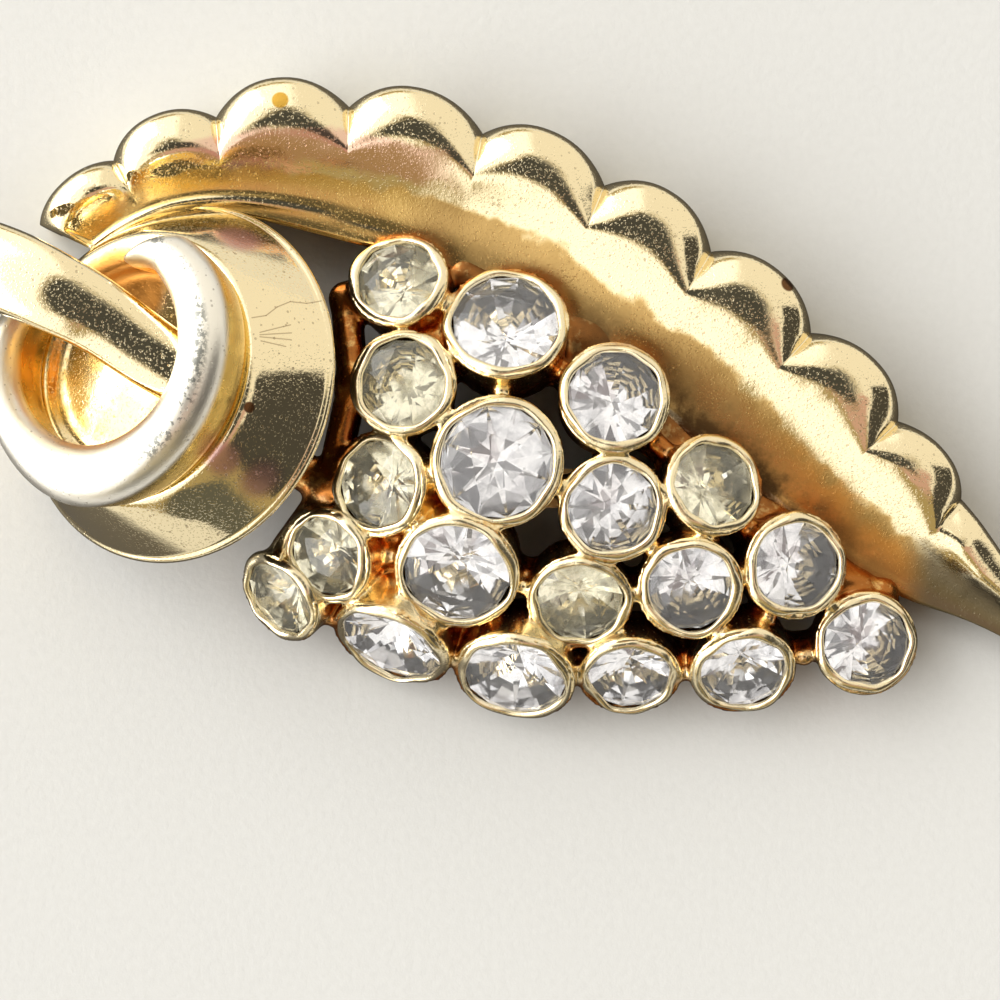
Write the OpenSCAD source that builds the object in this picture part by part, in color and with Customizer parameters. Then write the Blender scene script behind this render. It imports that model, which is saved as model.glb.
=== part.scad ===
// Grape brooch: a cast scalloped leaf with a pierced bunch of cut stones, and a ring knot with its stem.
// Millimetres. It lies on its back on z = 0. +X runs to the leaf's tip, +Y to its scallops.
// The origin is under the middle of the whole brooch.

/* [Leaf] */
// Width of the rolled lip, from the outline to the crest
lip_w = 1.0; // [0.8:0.1:1.3]
// Wall of the leaf casting
leaf_wall = 1.0; // [0.8:0.1:1.1]
// Depth of the creases between the lobes, at the crest
crease_depth = 0.8; // [0.3:0.1:1.0]
// Distance from the outline at which a crease has faded out
crease_run = 2.9; // [2.4:0.1:3.4]
// Distance from the outline at which a lobe's bulge has faded out
lobe_run = 3.4; // [3.0:0.1:4.0]

/* [Bunch of stones] */
// Wall of a stone cup at its rim
cup_wall = 0.36; // [0.3:0.02:0.5]
// Height of a cup's rim above the stone's girdle
rim_h = 0.25; // [0.15:0.05:0.4]
// Width of a web between two cups
web_w = 1.5; // [1.2:0.1:1.8]
// Thickness of a cup's floor, under the stone's point
cup_floor = 0.5; // [0.4:0.1:0.6]
// Clearance between a stone and its cup
seat_gap = 0.12; // [0.1:0.02:0.16]

/* [Knot] */
// Radius of the dome's flange
flange_r = 9.2; // [9.1:0.1:9.3]
// Lean of the knot's axis from the vertical
knot_lean = 29; // [25:1:31]
// Radius of the ring, to the middle of its wall
ring_r = 5.9; // [5.84:0.02:5.96]
// Width of the ring's wall
ring_w = 2.6; // [2.4:0.04:2.68]
// Width of the stem where it enters the knot
stem_w = 3.5; // [3.0:0.1:3.8]
// Thickness of the stem
stem_t = 1.7; // [1.4:0.1:1.8]

/* [Pin] */
// Length of the pin's back bar
bar_l = 21; // [19:1:22]
// Diameter of the pin wire
wire_d = 0.9; // [0.7:0.1:1.0]

/* [Hidden] */

gold = "goldenrod";
bright_gold = "khaki";
glass = "lightcyan";

// Stones, at the middle of the girdle: x, y, z, diameter, tilt, heading of the tilt
STONES = [
    [-3.9, 5.8, 5.4, 4.2, 25, 120],
    [1.5, 3.6, 6.1, 5.4, 27, 95],
    [-3.6, 0.6, 6.9, 4.4, 8, 130],
    [6.9, -0.1, 6.6, 4.7, 10, 60],
    [1.05, -3.3, 7.3, 5.7, 0, 0],
    [-4.8, -4.4, 6.3, 4.4, 28, 180],
    [6.8, -5.6, 6.6, 4.5, 6, -60],
    [-0.95, -8.75, 6.2, 5.4, 27, -105],
    [-7.45, -8.0, 4.9, 4.1, 33, -150],
    [-9.93, -10.1, 3.25, 4.1, 48, -145],
    [-4.3, -12.45, 3.45, 5.4, 57, -115],
    [1.95, -14.1, 3.55, 5.3, 46, -105],
    [5.2, -10.25, 5.2, 4.4, 27, -90],
    [10.75, -9.6, 5.4, 4.4, 18, -90],
    [11.9, -4.45, 5.6, 4.3, 22, 30],
    [16.1, -8.5, 4.6, 4.5, 15, -10],
    [7.8, -14.1, 3.3, 4.3, 41, -90],
    [13.55, -13.85, 3.4, 4.5, 37, -85],
    [19.85, -12.5, 3.1, 4.4, 8, -40]
];

// Necks between two cups: first stone, second stone, radius of the bead on the neck (0 for a plain web)
WEBS = [
    [1, 2, 0], [1, 3, 0], [2, 3, 0], [2, 5, 0.5], [2, 4, 0], [3, 5, 0], [3, 6, 0.45],
    [5, 6, 0.4], [5, 8, 0.5], [5, 7, 0.45], [4, 7, 0], [4, 15, 0], [7, 15, 0], [7, 14, 0.45],
    [7, 13, 0.5], [8, 13, 0.4], [8, 12, 0], [8, 11, 0], [8, 9, 0], [6, 8, 0.4], [6, 9, 0],
    [9, 10, 0.4], [10, 11, 0.45], [11, 12, 0.4], [12, 13, 0], [12, 17, 0.5], [13, 14, 0.4],
    [13, 17, 0], [14, 15, 0], [14, 16, 0.5], [14, 18, 0], [15, 16, 0], [16, 18, 0.4],
    [16, 19, 0], [17, 18, 0.45], [18, 19, 0.5]
];

// Closed parts of the pierced frame: the three stones between which each lies
PLATES = [[1, 3, 2], [6, 8, 9], [8, 9, 11], [9, 10, 11], [8, 11, 12]];
plate_t = 1.0;

// Bars of the frame behind the knot and beside the leaf: start x, y, z, end x, y, z, diameter
BARS = [
    [-6.6, 5.0, 4.0, -6.2, 0.6, 4.7, 1.6],
    [-6.2, 0.6, 4.7, -7.4, -4.6, 4.2, 1.6],
    [-7.4, -4.6, 4.2, -9.6, -7.6, 3.6, 1.6],
    [-3.9, 5.8, 4.0, -6.6, 5.0, 4.0, 1.5],
    [-3.6, 0.6, 5.2, -6.2, 0.6, 4.7, 1.5],
    [-4.8, -4.4, 4.6, -7.4, -4.6, 4.2, 1.5],
    [-7.4, -4.6, 4.0, -14.0, -0.5, 3.4, 2.0],
    [-14.0, -0.5, 3.4, -15.3, 9.4, 1.4, 1.7],
    [-15.3, 9.4, 1.4, -15.7, 11.4, 2.8, 1.7],
    [19.85, -12.5, 2.0, 20.9, -9.9, 1.9, 1.5],
    [16.9, -9.0, 3.2, 19.6, -9.6, 2.1, 1.6],
    [3.9, 3.3, 3.2, 7.2, 0.9, 3.3, 2.4]
];

// The leaf's outline, without its lobes, is one cubic curve through these four control points
SPINE = [[-22.4, 8.9], [-10.4, 22.3], [15.7, 12.8], [31.0, -14.4]];

// Creases of the leaf: place along the spine, bulge of the lobe after it,
// inner edge x, y and z, height of the crest
CREASES = [
    [0.000, 0.55, -19.35, 7.45, 3.4, 4.2],
    [0.097, 1.00, -16.7, 8.95, 4.0, 4.9],
    [0.209, 1.44, -12.6, 9.3, 3.8, 5.2],
    [0.336, 1.37, -6.5, 7.9, 3.5, 5.4],
    [0.454, 1.28, -1.1, 6.3, 3.5, 5.5],
    [0.558, 1.34, 3.5, 3.4, 3.7, 5.5],
    [0.649, 1.25, 7.6, 0.4, 3.9, 5.4],
    [0.736, 1.20, 11.4, -2.65, 3.5, 5.2],
    [0.815, 0.75, 15.75, -6.1, 2.7, 4.8],
    [0.876, 0.00, 20.6, -9.55, 2.0, 4.1],
    [0.915, 0.00, 24.1, -11.0, 1.7, 3.5],
    [0.950, 0.00, 27.2, -12.35, 1.6, 2.8],
    [0.995, 0.00, 30.6, -14.5, 1.3, 1.8]
];
LOBES = 9;
// Stations along one lobe, as shares of its length
LOBE_STEPS = [0, 0.07, 0.2, 0.38, 0.62, 0.8, 0.93];
TAIL_STEPS = [0, 0.5];
LAST = len(CREASES) - 1;

// Section of the lip, from the back to the crest: share of the lip's width, share of the crest's height
LIP = [[0.18, 0], [0, 0.36], [0.12, 0.68], [0.46, 0.91], [1, 1]];
// Section of the channel: share of its width, share of the drop from the crest to the inner edge
CHANNEL = [[0.07, 0.06], [0.22, 0.38], [0.38, 0.7], [0.62, 0.93], [1, 0.98]];
// Distance from the outline at which a crease starts to fade
crease_in = 0.9;

// Knot: middle of the flange, and the direction of its lean
knot_at = [-14.95, 0.65, 4.7];
knot_heading = 160;
flange_t = 0.55;
dome_r = 8.8;
rim_r = 6.7;
rim_z = 4.2;
bowl_r = 5.2;
bowl_z = 3.5;
shell_t = 1.0;
back_z = bowl_z - shell_t - 0.1;
// Ring: height of its foot, of its widest level, and of its crown above that; how far its walls draw in.
// It is a hook, open under the stem: the angles at which it starts and ends, from the knot's heading.
ring_foot = rim_z + 0.1;
ring_z = 7.0;
ring_crown = 1.3;
foot_in = 0.45;
ring_start = -25;
ring_end = 266;

// Middle line of the stem, from its free end to the knot: x, y, z, share of its width, share of its thickness
STEM = [
    [-30.2, 7.2, 4.3, 0.55, 0.5],
    [-30.0, 7.2, 5.1, 0.95, 0.95],
    [-29.3, 7.15, 6.7, 1.2, 1.15],
    [-28.3, 7.1, 8.4, 1.25, 1.15],
    [-26.4, 6.9, 9.7, 1.25, 1.1],
    [-24.2, 6.4, 10.55, 1.22, 1.05],
    [-22.2, 5.7, 11.0, 1.18, 1],
    [-20.3, 4.8, 11.15, 1.12, 1],
    [-18.4, 3.8, 11.0, 1.05, 1],
    [-16.8, 2.7, 10.85, 1, 1],
    [-15.2, 1.6, 10.8, 0.97, 1],
    [-13.5, 0.6, 10.75, 0.92, 0.9]
];
STEM_SIDES = 12;

// Pin: middle of the back bar, its height and section, and the seats that meet the cups of two stones
bar_at = [2.2, -4.6];
bar_z = [1.4, 2.2];
bar_y = 2.0;
SEATS = [[1.05, -4.4, 4.2], [6.8, -4.8, 3.7]];
seat_d = 2;
block_l = 2.4;
wire_z = 0.75;

function bezier(p, t) =
    pow(1 - t, 3) * p[0] + 3 * pow(1 - t, 2) * t * p[1] + 3 * (1 - t) * t * t * p[2] + pow(t, 3) * p[3];

// Catmull-Rom blend of rows i and i + 1 of a table
function row_at(table, i, s) =
    let (
        last = len(table) - 1,
        a = table[max(i - 1, 0)],
        b = table[i],
        c = table[min(i + 1, last)],
        d = table[min(i + 2, last)]
    )
    0.5 * (2 * b + (c - a) * s + (2 * a - 5 * b + 4 * c - d) * s * s + (3 * b - a - 3 * c + d) * pow(s, 3));

// Soft step from 0 to 1
function ease(x) =
    let (c = max(0, min(1, x)))
    c * c * (3 - 2 * c);

// Point of the leaf's front: q is measured inwards from the middle line of the outline, and the lobe's bulge
// moves it outwards. The crease is lowered into z.
function front(q, z, valley, bulge) = [
    q - bulge * (1 - ease(q / lobe_run)),
    z - crease_depth * valley * (1 - ease((q - crease_in) / (crease_run - crease_in))) * min(1, z / 2)
];

// Front of the leaf's section
function front_line(width, crest, inner, valley, bulge) =
    let (lip = min(lip_w, 0.35 * width))
    concat(
        [for (p = LIP) front(p[0] * lip, p[1] * crest, valley, bulge)],
        [for (p = CHANNEL) front(lip + p[0] * (width - lip), crest - p[1] * (crest - inner), valley, bulge)]
    );

// The same line moved one wall inwards, along its own normal
function back_line(line, wall) =
    [for (k = [0 : len(line) - 1])
        let (
            step = line[min(k + 1, len(line) - 1)] - line[max(k - 1, 0)],
            normal = [step[1], -step[0]] / norm(step),
            p = line[k] + wall * normal
        )
        k == 0 ? [p[0], 0] : [min(p[0], line[len(line) - 1][0]), max(p[1], 0.05 * k)]];

// One closed section of the leaf in space
function leaf_section(i, s) =
    let (
        row = row_at(CREASES, i, s),
        lobed = i < LOBES,
        swell = lobed ? 1 - pow(abs(2 * s - 1), 2.2) : 0,
        valley = lobed ? pow(abs(2 * s - 1), 3) : max(0, 1 - (i + s - LOBES) * 2),
        foot = bezier(SPINE, row[0]),
        inner = [row[2], row[3]],
        along = (inner - foot) / norm(inner - foot),
        width = norm(inner - foot),
        line = front_line(width, row[5], row[4], valley, CREASES[i][1] * swell),
        back = back_line(line, min(leaf_wall, 0.3 * width))
    )
    [for (p = concat(line, [for (k = [len(back) - 1 : -1 : 0]) back[k]])) [
        foot[0] + along[0] * p[0], foot[1] + along[1] * p[0], p[1]
    ]];

LEAF_ROWS = concat(
    [for (i = [0 : LOBES - 1], s = LOBE_STEPS) leaf_section(i, s)],
    [for (i = [LOBES : LAST - 1], s = TAIL_STEPS) leaf_section(i, s)],
    [leaf_section(LAST, 0)]
);

// Solid through rows of closed sections. Point k of a section lies opposite to point n - 1 - k.
module loft(rows) {
    n = len(rows[0]);
    m = len(rows);
    sides = [for (i = [0 : m - 2], k = [0 : n - 1]) each [
        [i * n + k, (i + 1) * n + k, (i + 1) * n + (k + 1) % n],
        [i * n + k, (i + 1) * n + (k + 1) % n, i * n + (k + 1) % n]
    ]];
    first = [for (k = [0 : n / 2 - 2]) each [[k, k + 1, n - 2 - k], [k, n - 2 - k, n - 1 - k]]];
    last = [for (f = first) [for (v = [2, 1, 0]) f[v] + (m - 1) * n]];
    polyhedron(points = [for (r = rows) each r], faces = concat(sides, first, last));
}

CUP_SIDES = 18;

// Places a shape on a stone's girdle, square to the stone
module at_stone(s) {
    translate([s[0], s[1], s[2]])
        rotate([0, s[4], s[5]])
            children();
}

function pavilion(s) = 0.43 * s[3];
function cup_depth(s) = pavilion(s) + cup_floor;

module cup(s) {
    rim_r = s[3] / 2 + seat_gap + cup_wall;
    at_stone(s)
        translate([0, 0, -cup_depth(s)])
            cylinder(h = cup_depth(s) + rim_h, r1 = 0.9 * rim_r, r2 = rim_r, $fn = CUP_SIDES);
}

// Room for a stone: a round seat, and a cone for its back
module pocket(s) {
    r = s[3] / 2 + seat_gap;
    at_stone(s) {
        translate([0, 0, -0.2])
            cylinder(h = 2, r = r, $fn = CUP_SIDES);
        translate([0, 0, -pavilion(s) - seat_gap])
            cylinder(h = pavilion(s) + seat_gap - 0.199, r1 = 0.12 * s[3], r2 = r, $fn = CUP_SIDES);
    }
}

module web_end(s, d) {
    at_stone(s)
        translate([0, 0, -0.85 * cup_depth(s)])
            cylinder(h = 0.55 * cup_depth(s), d = d, $fn = 8);
}

module web(a, b) {
    hull() {
        web_end(a, web_w);
        web_end(b, web_w);
    }
}

// Bead on the neck, half way between the rims of two cups
module bead(a, b, r) {
    p = [a[0], a[1], a[2]];
    q = [b[0], b[1], b[2]];
    share = 0.5 + 0.25 * (a[3] - b[3]) / norm(q - p);
    middle = p + share * (q - p);
    translate(middle - [0, 0, 0.55])
        sphere(r = r, $fn = 8);
}

module plate(a, b, c) {
    hull()
        for (s = [a, b, c])
            at_stone(s)
                translate([0, 0, -0.85 * cup_depth(s)])
                    cylinder(h = plate_t, d = 1.2, $fn = 8);
}

module bar(b) {
    hull() {
        translate([b[0], b[1], b[2]])
            sphere(d = b[6], $fn = 8);
        translate([b[3], b[4], b[5]])
            sphere(d = b[6], $fn = 8);
    }
}

// Places a shape in the knot's own frame: flange on z = 0, axis up
module at_knot() {
    translate(knot_at)
        rotate([0, knot_lean, knot_heading])
            children();
}

// The dome's shoulder, from the flange up to the rim: nearly a cone, a little rounded
DOME_STEPS = 8;
dome_power = 1.7;
function shoulder() =
    [for (k = [0 : DOME_STEPS])
        let (a = 90 * k / DOME_STEPS)
        [
            rim_r + (dome_r - rim_r) * pow(cos(a), dome_power),
            flange_t + (rim_z - flange_t) * pow(sin(a), dome_power)
        ]];

// Post that carries the dome from inside
module knot_post() {
    at_knot()
        translate([0, 0, -1.6])
            cylinder(h = back_z + 1.6 - seat_gap, r = 1.6, $fn = 16);
}

// Room that the leaf's edge leaves for the dome and its flange
module knot_room() {
    at_knot()
        rotate_extrude($fn = 64)
            polygon(concat(
                [[0, -0.3], [flange_r + seat_gap, -0.3], [flange_r + seat_gap, flange_t + seat_gap]],
                [for (p = shoulder()) p + [seat_gap, seat_gap]],
                [[0, rim_z + seat_gap]]
            ));
}

module leaf_casting() {
    color(gold)
        difference() {
            union() {
                difference() {
                    loft(LEAF_ROWS);
                    knot_room();
                }
                for (s = STONES)
                    cup(s);
                for (w = WEBS) {
                    web(STONES[w[0] - 1], STONES[w[1] - 1]);
                    if (w[2] > 0)
                        bead(STONES[w[0] - 1], STONES[w[1] - 1], w[2]);
                }
                for (p = PLATES)
                    plate(STONES[p[0] - 1], STONES[p[1] - 1], STONES[p[2] - 1]);
                for (b = BARS)
                    bar(b);
                knot_post();
            }
            for (s = STONES)
                pocket(s);
            translate([-50, -50, -10])
                cube([100, 100, 10]);
        }
}

module knot_dome() {
    color(gold)
        at_knot()
            rotate_extrude($fn = 64)
                polygon(concat(
                    [[dome_r - 1.4, 0], [flange_r - 0.1, 0], [flange_r, 0.15], [flange_r, flange_t - 0.12]],
                    [[flange_r - 0.12, flange_t]],
                    shoulder(),
                    [[bowl_r, rim_z], [bowl_r - 0.2, bowl_z + 0.3], [bowl_r - 0.9, bowl_z]],
                    [[0, bowl_z - 0.25], [0, back_z], [bowl_r - 0.6, back_z], [6.9, 1.6]]
                ));
}

// Section of the ring: a round crown on walls that draw in towards the foot
RING_STEPS = 12;
function ring_section() =
    concat(
        [for (k = [0 : RING_STEPS])
            let (a = 180 * k / RING_STEPS)
            [ring_r + ring_w / 2 * cos(a), ring_z + ring_crown * sin(a)]],
        [[ring_r - ring_w / 2 + foot_in, ring_foot], [ring_r + ring_w / 2 - foot_in, ring_foot]]
    );

module knot_ring() {
    color(bright_gold)
        at_knot()
            rotate([0, 0, ring_start])
                rotate_extrude(angle = ring_end - ring_start, $fn = 64)
                    polygon(ring_section());
}

// Half-round section of the stem: flat back, domed front
function stem_section(i) =
    let (
        p = STEM[i],
        a = STEM[max(i - 1, 0)],
        b = STEM[min(i + 1, len(STEM) - 1)],
        ahead = [b[0] - a[0], b[1] - a[1], b[2] - a[2]],
        t = ahead / norm(ahead),
        across = cross(t, [0, 0, 1]) / norm(cross(t, [0, 0, 1])),
        up = cross(across, t),
        half_w = p[3] * stem_w / 2,
        thick = p[4] * stem_t
    )
    [for (k = [0 : STEM_SIDES - 1])
        let (
            angle = -180 * (k + 0.5) / STEM_SIDES * 2 + 180,
            side = half_w * cos(angle),
            lift = sin(angle) > 0 ? thick * (pow(sin(angle), 0.8) - 0.42) : -thick * 0.42 - 0.12 * sin(angle)
        )
        [p[0], p[1], p[2]] + across * side + up * lift];

module stem() {
    color(bright_gold)
        loft([for (i = [0 : len(STEM) - 1]) stem_section(i)]);
}

// Cut stone on its girdle: a six-sided table, eighteen crown facets, a girdle and a pointed back
TABLE_SIDES = 6;
module stone(s) {
    r = s[3] / 2;
    table_r = 0.52 * r;
    table_z = 0.24 * r;
    girdle = 0.05 * r;
    n = TABLE_SIDES;
    table = [for (k = [0 : n - 1]) [table_r * cos(360 * k / n), table_r * sin(360 * k / n), table_z]];
    upper = [for (k = [0 : 2 * n - 1]) [r * cos(180 * k / n), r * sin(180 * k / n), girdle]];
    lower = [for (p = upper) [p[0], p[1], -girdle]];
    culet = [[0, 0, -pavilion(s)]];
    u = n;
    w = 3 * n;
    faces = concat(
        [[for (k = [n - 1 : -1 : 0]) k]],
        [for (k = [0 : n - 1]) each [
            [k, u + 2 * k, u + (2 * k + 2 * n - 1) % (2 * n)],
            [k, u + 2 * k + 1, u + 2 * k],
            [k, (k + 1) % n, u + 2 * k + 1]
        ]],
        [for (k = [0 : 2 * n - 1]) each [
            [u + k, u + (k + 1) % (2 * n), w + k],
            [u + (k + 1) % (2 * n), w + (k + 1) % (2 * n), w + k],
            [w + k, w + (k + 1) % (2 * n), 5 * n]
        ]]
    );
    color(glass)
        at_stone(s)
            polyhedron(points = concat(table, upper, lower, culet), faces = faces);
}

// The hidden pin, one plain piece: bar, two seats, hinge block, catch and wire
module pin_back() {
    left = bar_at[0] - bar_l / 2;
    right = bar_at[0] + bar_l / 2;
    color(gold)
        union() {
            translate([left, bar_at[1] - bar_y / 2, bar_z[0]])
                cube([bar_l, bar_y, bar_z[1] - bar_z[0]]);
            for (p = SEATS)
                translate([p[0], p[1], bar_z[1] - 0.1])
                    cylinder(h = p[2] - bar_z[1] + 0.1, d = seat_d, $fn = 24);
            for (x = [left, right - block_l])
                translate([x, bar_at[1] - bar_y / 2, 0])
                    cube([block_l, bar_y, bar_z[0] + 0.1]);
            translate([left + 0.5, bar_at[1], wire_z])
                rotate([0, 90, 0])
                    cylinder(h = bar_l - 1, d = wire_d, $fn = 24);
        }
}

leaf_casting();
knot_dome();
knot_ring();
stem();
pin_back();
for (i = [0 : len(STONES) - 1])
    stone(STONES[i]);
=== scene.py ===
import bpy
import numpy as np
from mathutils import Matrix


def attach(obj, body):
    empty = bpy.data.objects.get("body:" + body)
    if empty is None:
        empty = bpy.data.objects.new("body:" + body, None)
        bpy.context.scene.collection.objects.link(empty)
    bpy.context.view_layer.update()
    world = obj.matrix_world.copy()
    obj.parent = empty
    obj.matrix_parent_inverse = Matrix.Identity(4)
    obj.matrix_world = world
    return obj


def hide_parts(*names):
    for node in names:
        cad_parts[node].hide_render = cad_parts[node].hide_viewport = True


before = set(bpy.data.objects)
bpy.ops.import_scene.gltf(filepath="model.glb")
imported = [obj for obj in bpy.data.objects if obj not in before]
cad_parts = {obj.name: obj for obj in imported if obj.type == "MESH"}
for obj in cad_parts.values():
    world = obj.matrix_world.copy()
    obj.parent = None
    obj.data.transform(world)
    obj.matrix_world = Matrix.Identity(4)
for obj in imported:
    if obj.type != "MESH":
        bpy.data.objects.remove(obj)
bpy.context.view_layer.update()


# The leaf: a thin shell with nine domed scallops, a dished channel and a straight tapering tail.
# It is cast brass, one casting with the frame of the bunch, polished to a mirror and gold plated.
# A thin raised line is modelled along its inner edge and across its left end.

# Sizes are in mm, and this makes them metres
MM = 0.001
# Middle line of the outline, without its lobes: control points of one cubic curve, x and y
LEAF_SPINE = np.array([[-22.4, 8.9], [-10.4, 22.3], [15.7, 12.8], [31.0, -14.4]])
# Creases: place along the spine, inner edge x, y and z, height of the crest
LEAF_CREASES = np.array([
    [0.000, -19.35, 7.45, 3.4, 4.2],
    [0.097, -16.7, 8.95, 4.0, 4.9],
    [0.209, -12.6, 9.3, 3.8, 5.2],
    [0.336, -6.5, 7.9, 3.5, 5.4],
    [0.454, -1.1, 6.3, 3.5, 5.5],
    [0.558, 3.5, 3.4, 3.7, 5.5],
    [0.649, 7.6, 0.4, 3.9, 5.4],
    [0.736, 11.4, -2.65, 3.5, 5.2],
    [0.815, 15.75, -6.1, 2.7, 4.8],
    [0.876, 20.6, -9.55, 2.0, 4.1],
    [0.915, 24.1, -11.0, 1.7, 3.5],
    [0.950, 27.2, -12.35, 1.6, 2.8],
    [0.995, 30.6, -14.5, 1.3, 1.8],
])
# Section, from the foot of the lip over the crest to the inner edge:
# share of the lip's width, share of the channel's width, share of the crest's height, share of the drop
LEAF_SECTION = np.array([
    [0.12, 0.0, 0.0, 0.0],
    [0.02, 0.0, 0.3, 0.0],
    [0.0, 0.0, 0.6, 0.0],
    [0.03, 0.0, 0.76, 0.0],
    [0.1, 0.0, 0.85, 0.0],
    [0.24, 0.0, 0.91, 0.0],
    [0.42, 0.0, 0.95, 0.0],
    [0.62, 0.0, 0.979, 0.0],
    [0.82, 0.0, 0.995, 0.0],
    [1.0, 0.0, 1.0, 0.0],
    [1.0, 0.05, 1.0, 0.01],
    [1.0, 0.15, 1.0, 0.12],
    [1.0, 0.3, 1.0, 0.42],
    [1.0, 0.5, 1.0, 0.74],
    [1.0, 0.75, 1.0, 0.93],
    [1.0, 1.0, 1.0, 1.0],
])
# Lip and wall: size, and the most that it may be as a share of the leaf's width there
LIP_W = 1.5
LIP_SHARE = 0.35
LEAF_WALL = 0.8
WALL_SHARE = 0.3
# Least height of the back, which rises by this much from point to point
BACK_RISE = 0.02
# Lobes: how far each bulges out of the spine, the power of their outline, and how far inwards they reach
LOBE_BULGES = np.array([0.55, 1.0, 1.4, 1.37, 1.28, 1.34, 1.25, 1.2, 0.75])
LOBE_POWER = 2.2
LOBE_RUN = 3.4
# Creases: depth, the height of the front from which it is full, the two powers of their section, and where
# the fade inwards starts and ends
CREASE_DEPTH = 0.85
CREASE_FULL = 2.0
CREASE_POWER = 2.3
CREASE_ROUND = 0.75
CREASE_IN = 0.9
CREASE_OUT = 2.9
# Stations in a lobe, and the share of their spacing that is even. The rest is closer at the creases
LOBE_STATIONS = 34
EVEN_SHARE = 0.25
TAIL_STATIONS = 16
SECTION_POINTS = 64
# Raised line: height, half width, and at each crease its distance from the inner edge
LINE_H = 0.2
LINE_W = 0.15
LINE_IN = np.array([0.3, 0.32, 0.75, 1.1, 0.6] + 8 * [0.42])[:, None]
# Where it ends on the left, and starts and ends again on the right, in creases, and the run of its last fade
LINE_LEFT_END = 3.7
LINE_RIGHT_START = 5.7
LINE_RIGHT_END = 9.6
LINE_LAST_RUN = 0.6
# Its stretch across the leaf's left end: share of the height, distance from the end, half width, where it
# starts from the outer edge, and the runs of its two fades
CROSS_SHARE = 0.8
CROSS_IN = 0.25
CROSS_W = 0.2
CROSS_START = 0.5
CROSS_START_RUN = 1.5
CROSS_END_RUN = 0.5


def cubic(rows, at):
    """Smooth curve through rows that stand at whole numbers, read at the places `at`: a natural cubic spline,
    whose bends m solve m[i-1] + 4 m[i] + m[i+1] = 6 (rows[i-1] - 2 rows[i] + rows[i+1])."""
    n = len(rows)
    system = 4 * np.eye(n) + np.eye(n, k=1) + np.eye(n, k=-1)
    system[[0, -1]] = 0
    system[0, 0] = system[-1, -1] = 1
    pull = np.zeros_like(rows)
    pull[1:-1] = 6 * (rows[:-2] - 2 * rows[1:-1] + rows[2:])
    bend = np.linalg.solve(system, pull)
    i = np.clip(np.floor(at).astype(int), 0, n - 2)
    s = (at - i)[..., None]
    line = rows[i] * (1 - s) + rows[i + 1] * s
    return line + ((1 - s) ** 3 - (1 - s)) * bend[i] / 6 + (s ** 3 - s) * bend[i + 1] / 6


def bezier(points, t):
    """Cubic curve with four control points, at a column of places t: the points' blend with the weights of
    (1 - t + t) cubed."""
    s = 1 - t
    return np.concatenate([s ** 3, 3 * s * s * t, 3 * s * t * t, t ** 3], axis=1) @ points


def bell(x, width):
    """Bump of height 1 at x = 0: exp(-(x / width) squared)."""
    return np.exp(-(x / width) ** 2)


def ease(x):
    """Soft step from 0 to 1: 3 x squared - 2 x cubed, with x held between 0 and 1."""
    x = np.clip(x, 0, 1)
    return x * x * (3 - 2 * x)


def leaf_stations():
    """Places along the leaf, in creases: a share of even steps, and the rest as (1 - cos(pi u)) / 2, which is
    close together at each crease."""
    u = np.arange(LOBE_STATIONS) / LOBE_STATIONS
    close = (1 - EVEN_SHARE) * (1 - np.cos(np.pi * u)) / 2 + EVEN_SHARE * u
    lobes = (np.arange(len(LOBE_BULGES))[:, None] + close).ravel()
    last = len(LEAF_CREASES) - 1
    tail = np.linspace(len(LOBE_BULGES), last, TAIL_STATIONS * (last - len(LOBE_BULGES)) + 1)
    return np.concatenate([lobes, tail])


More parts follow.
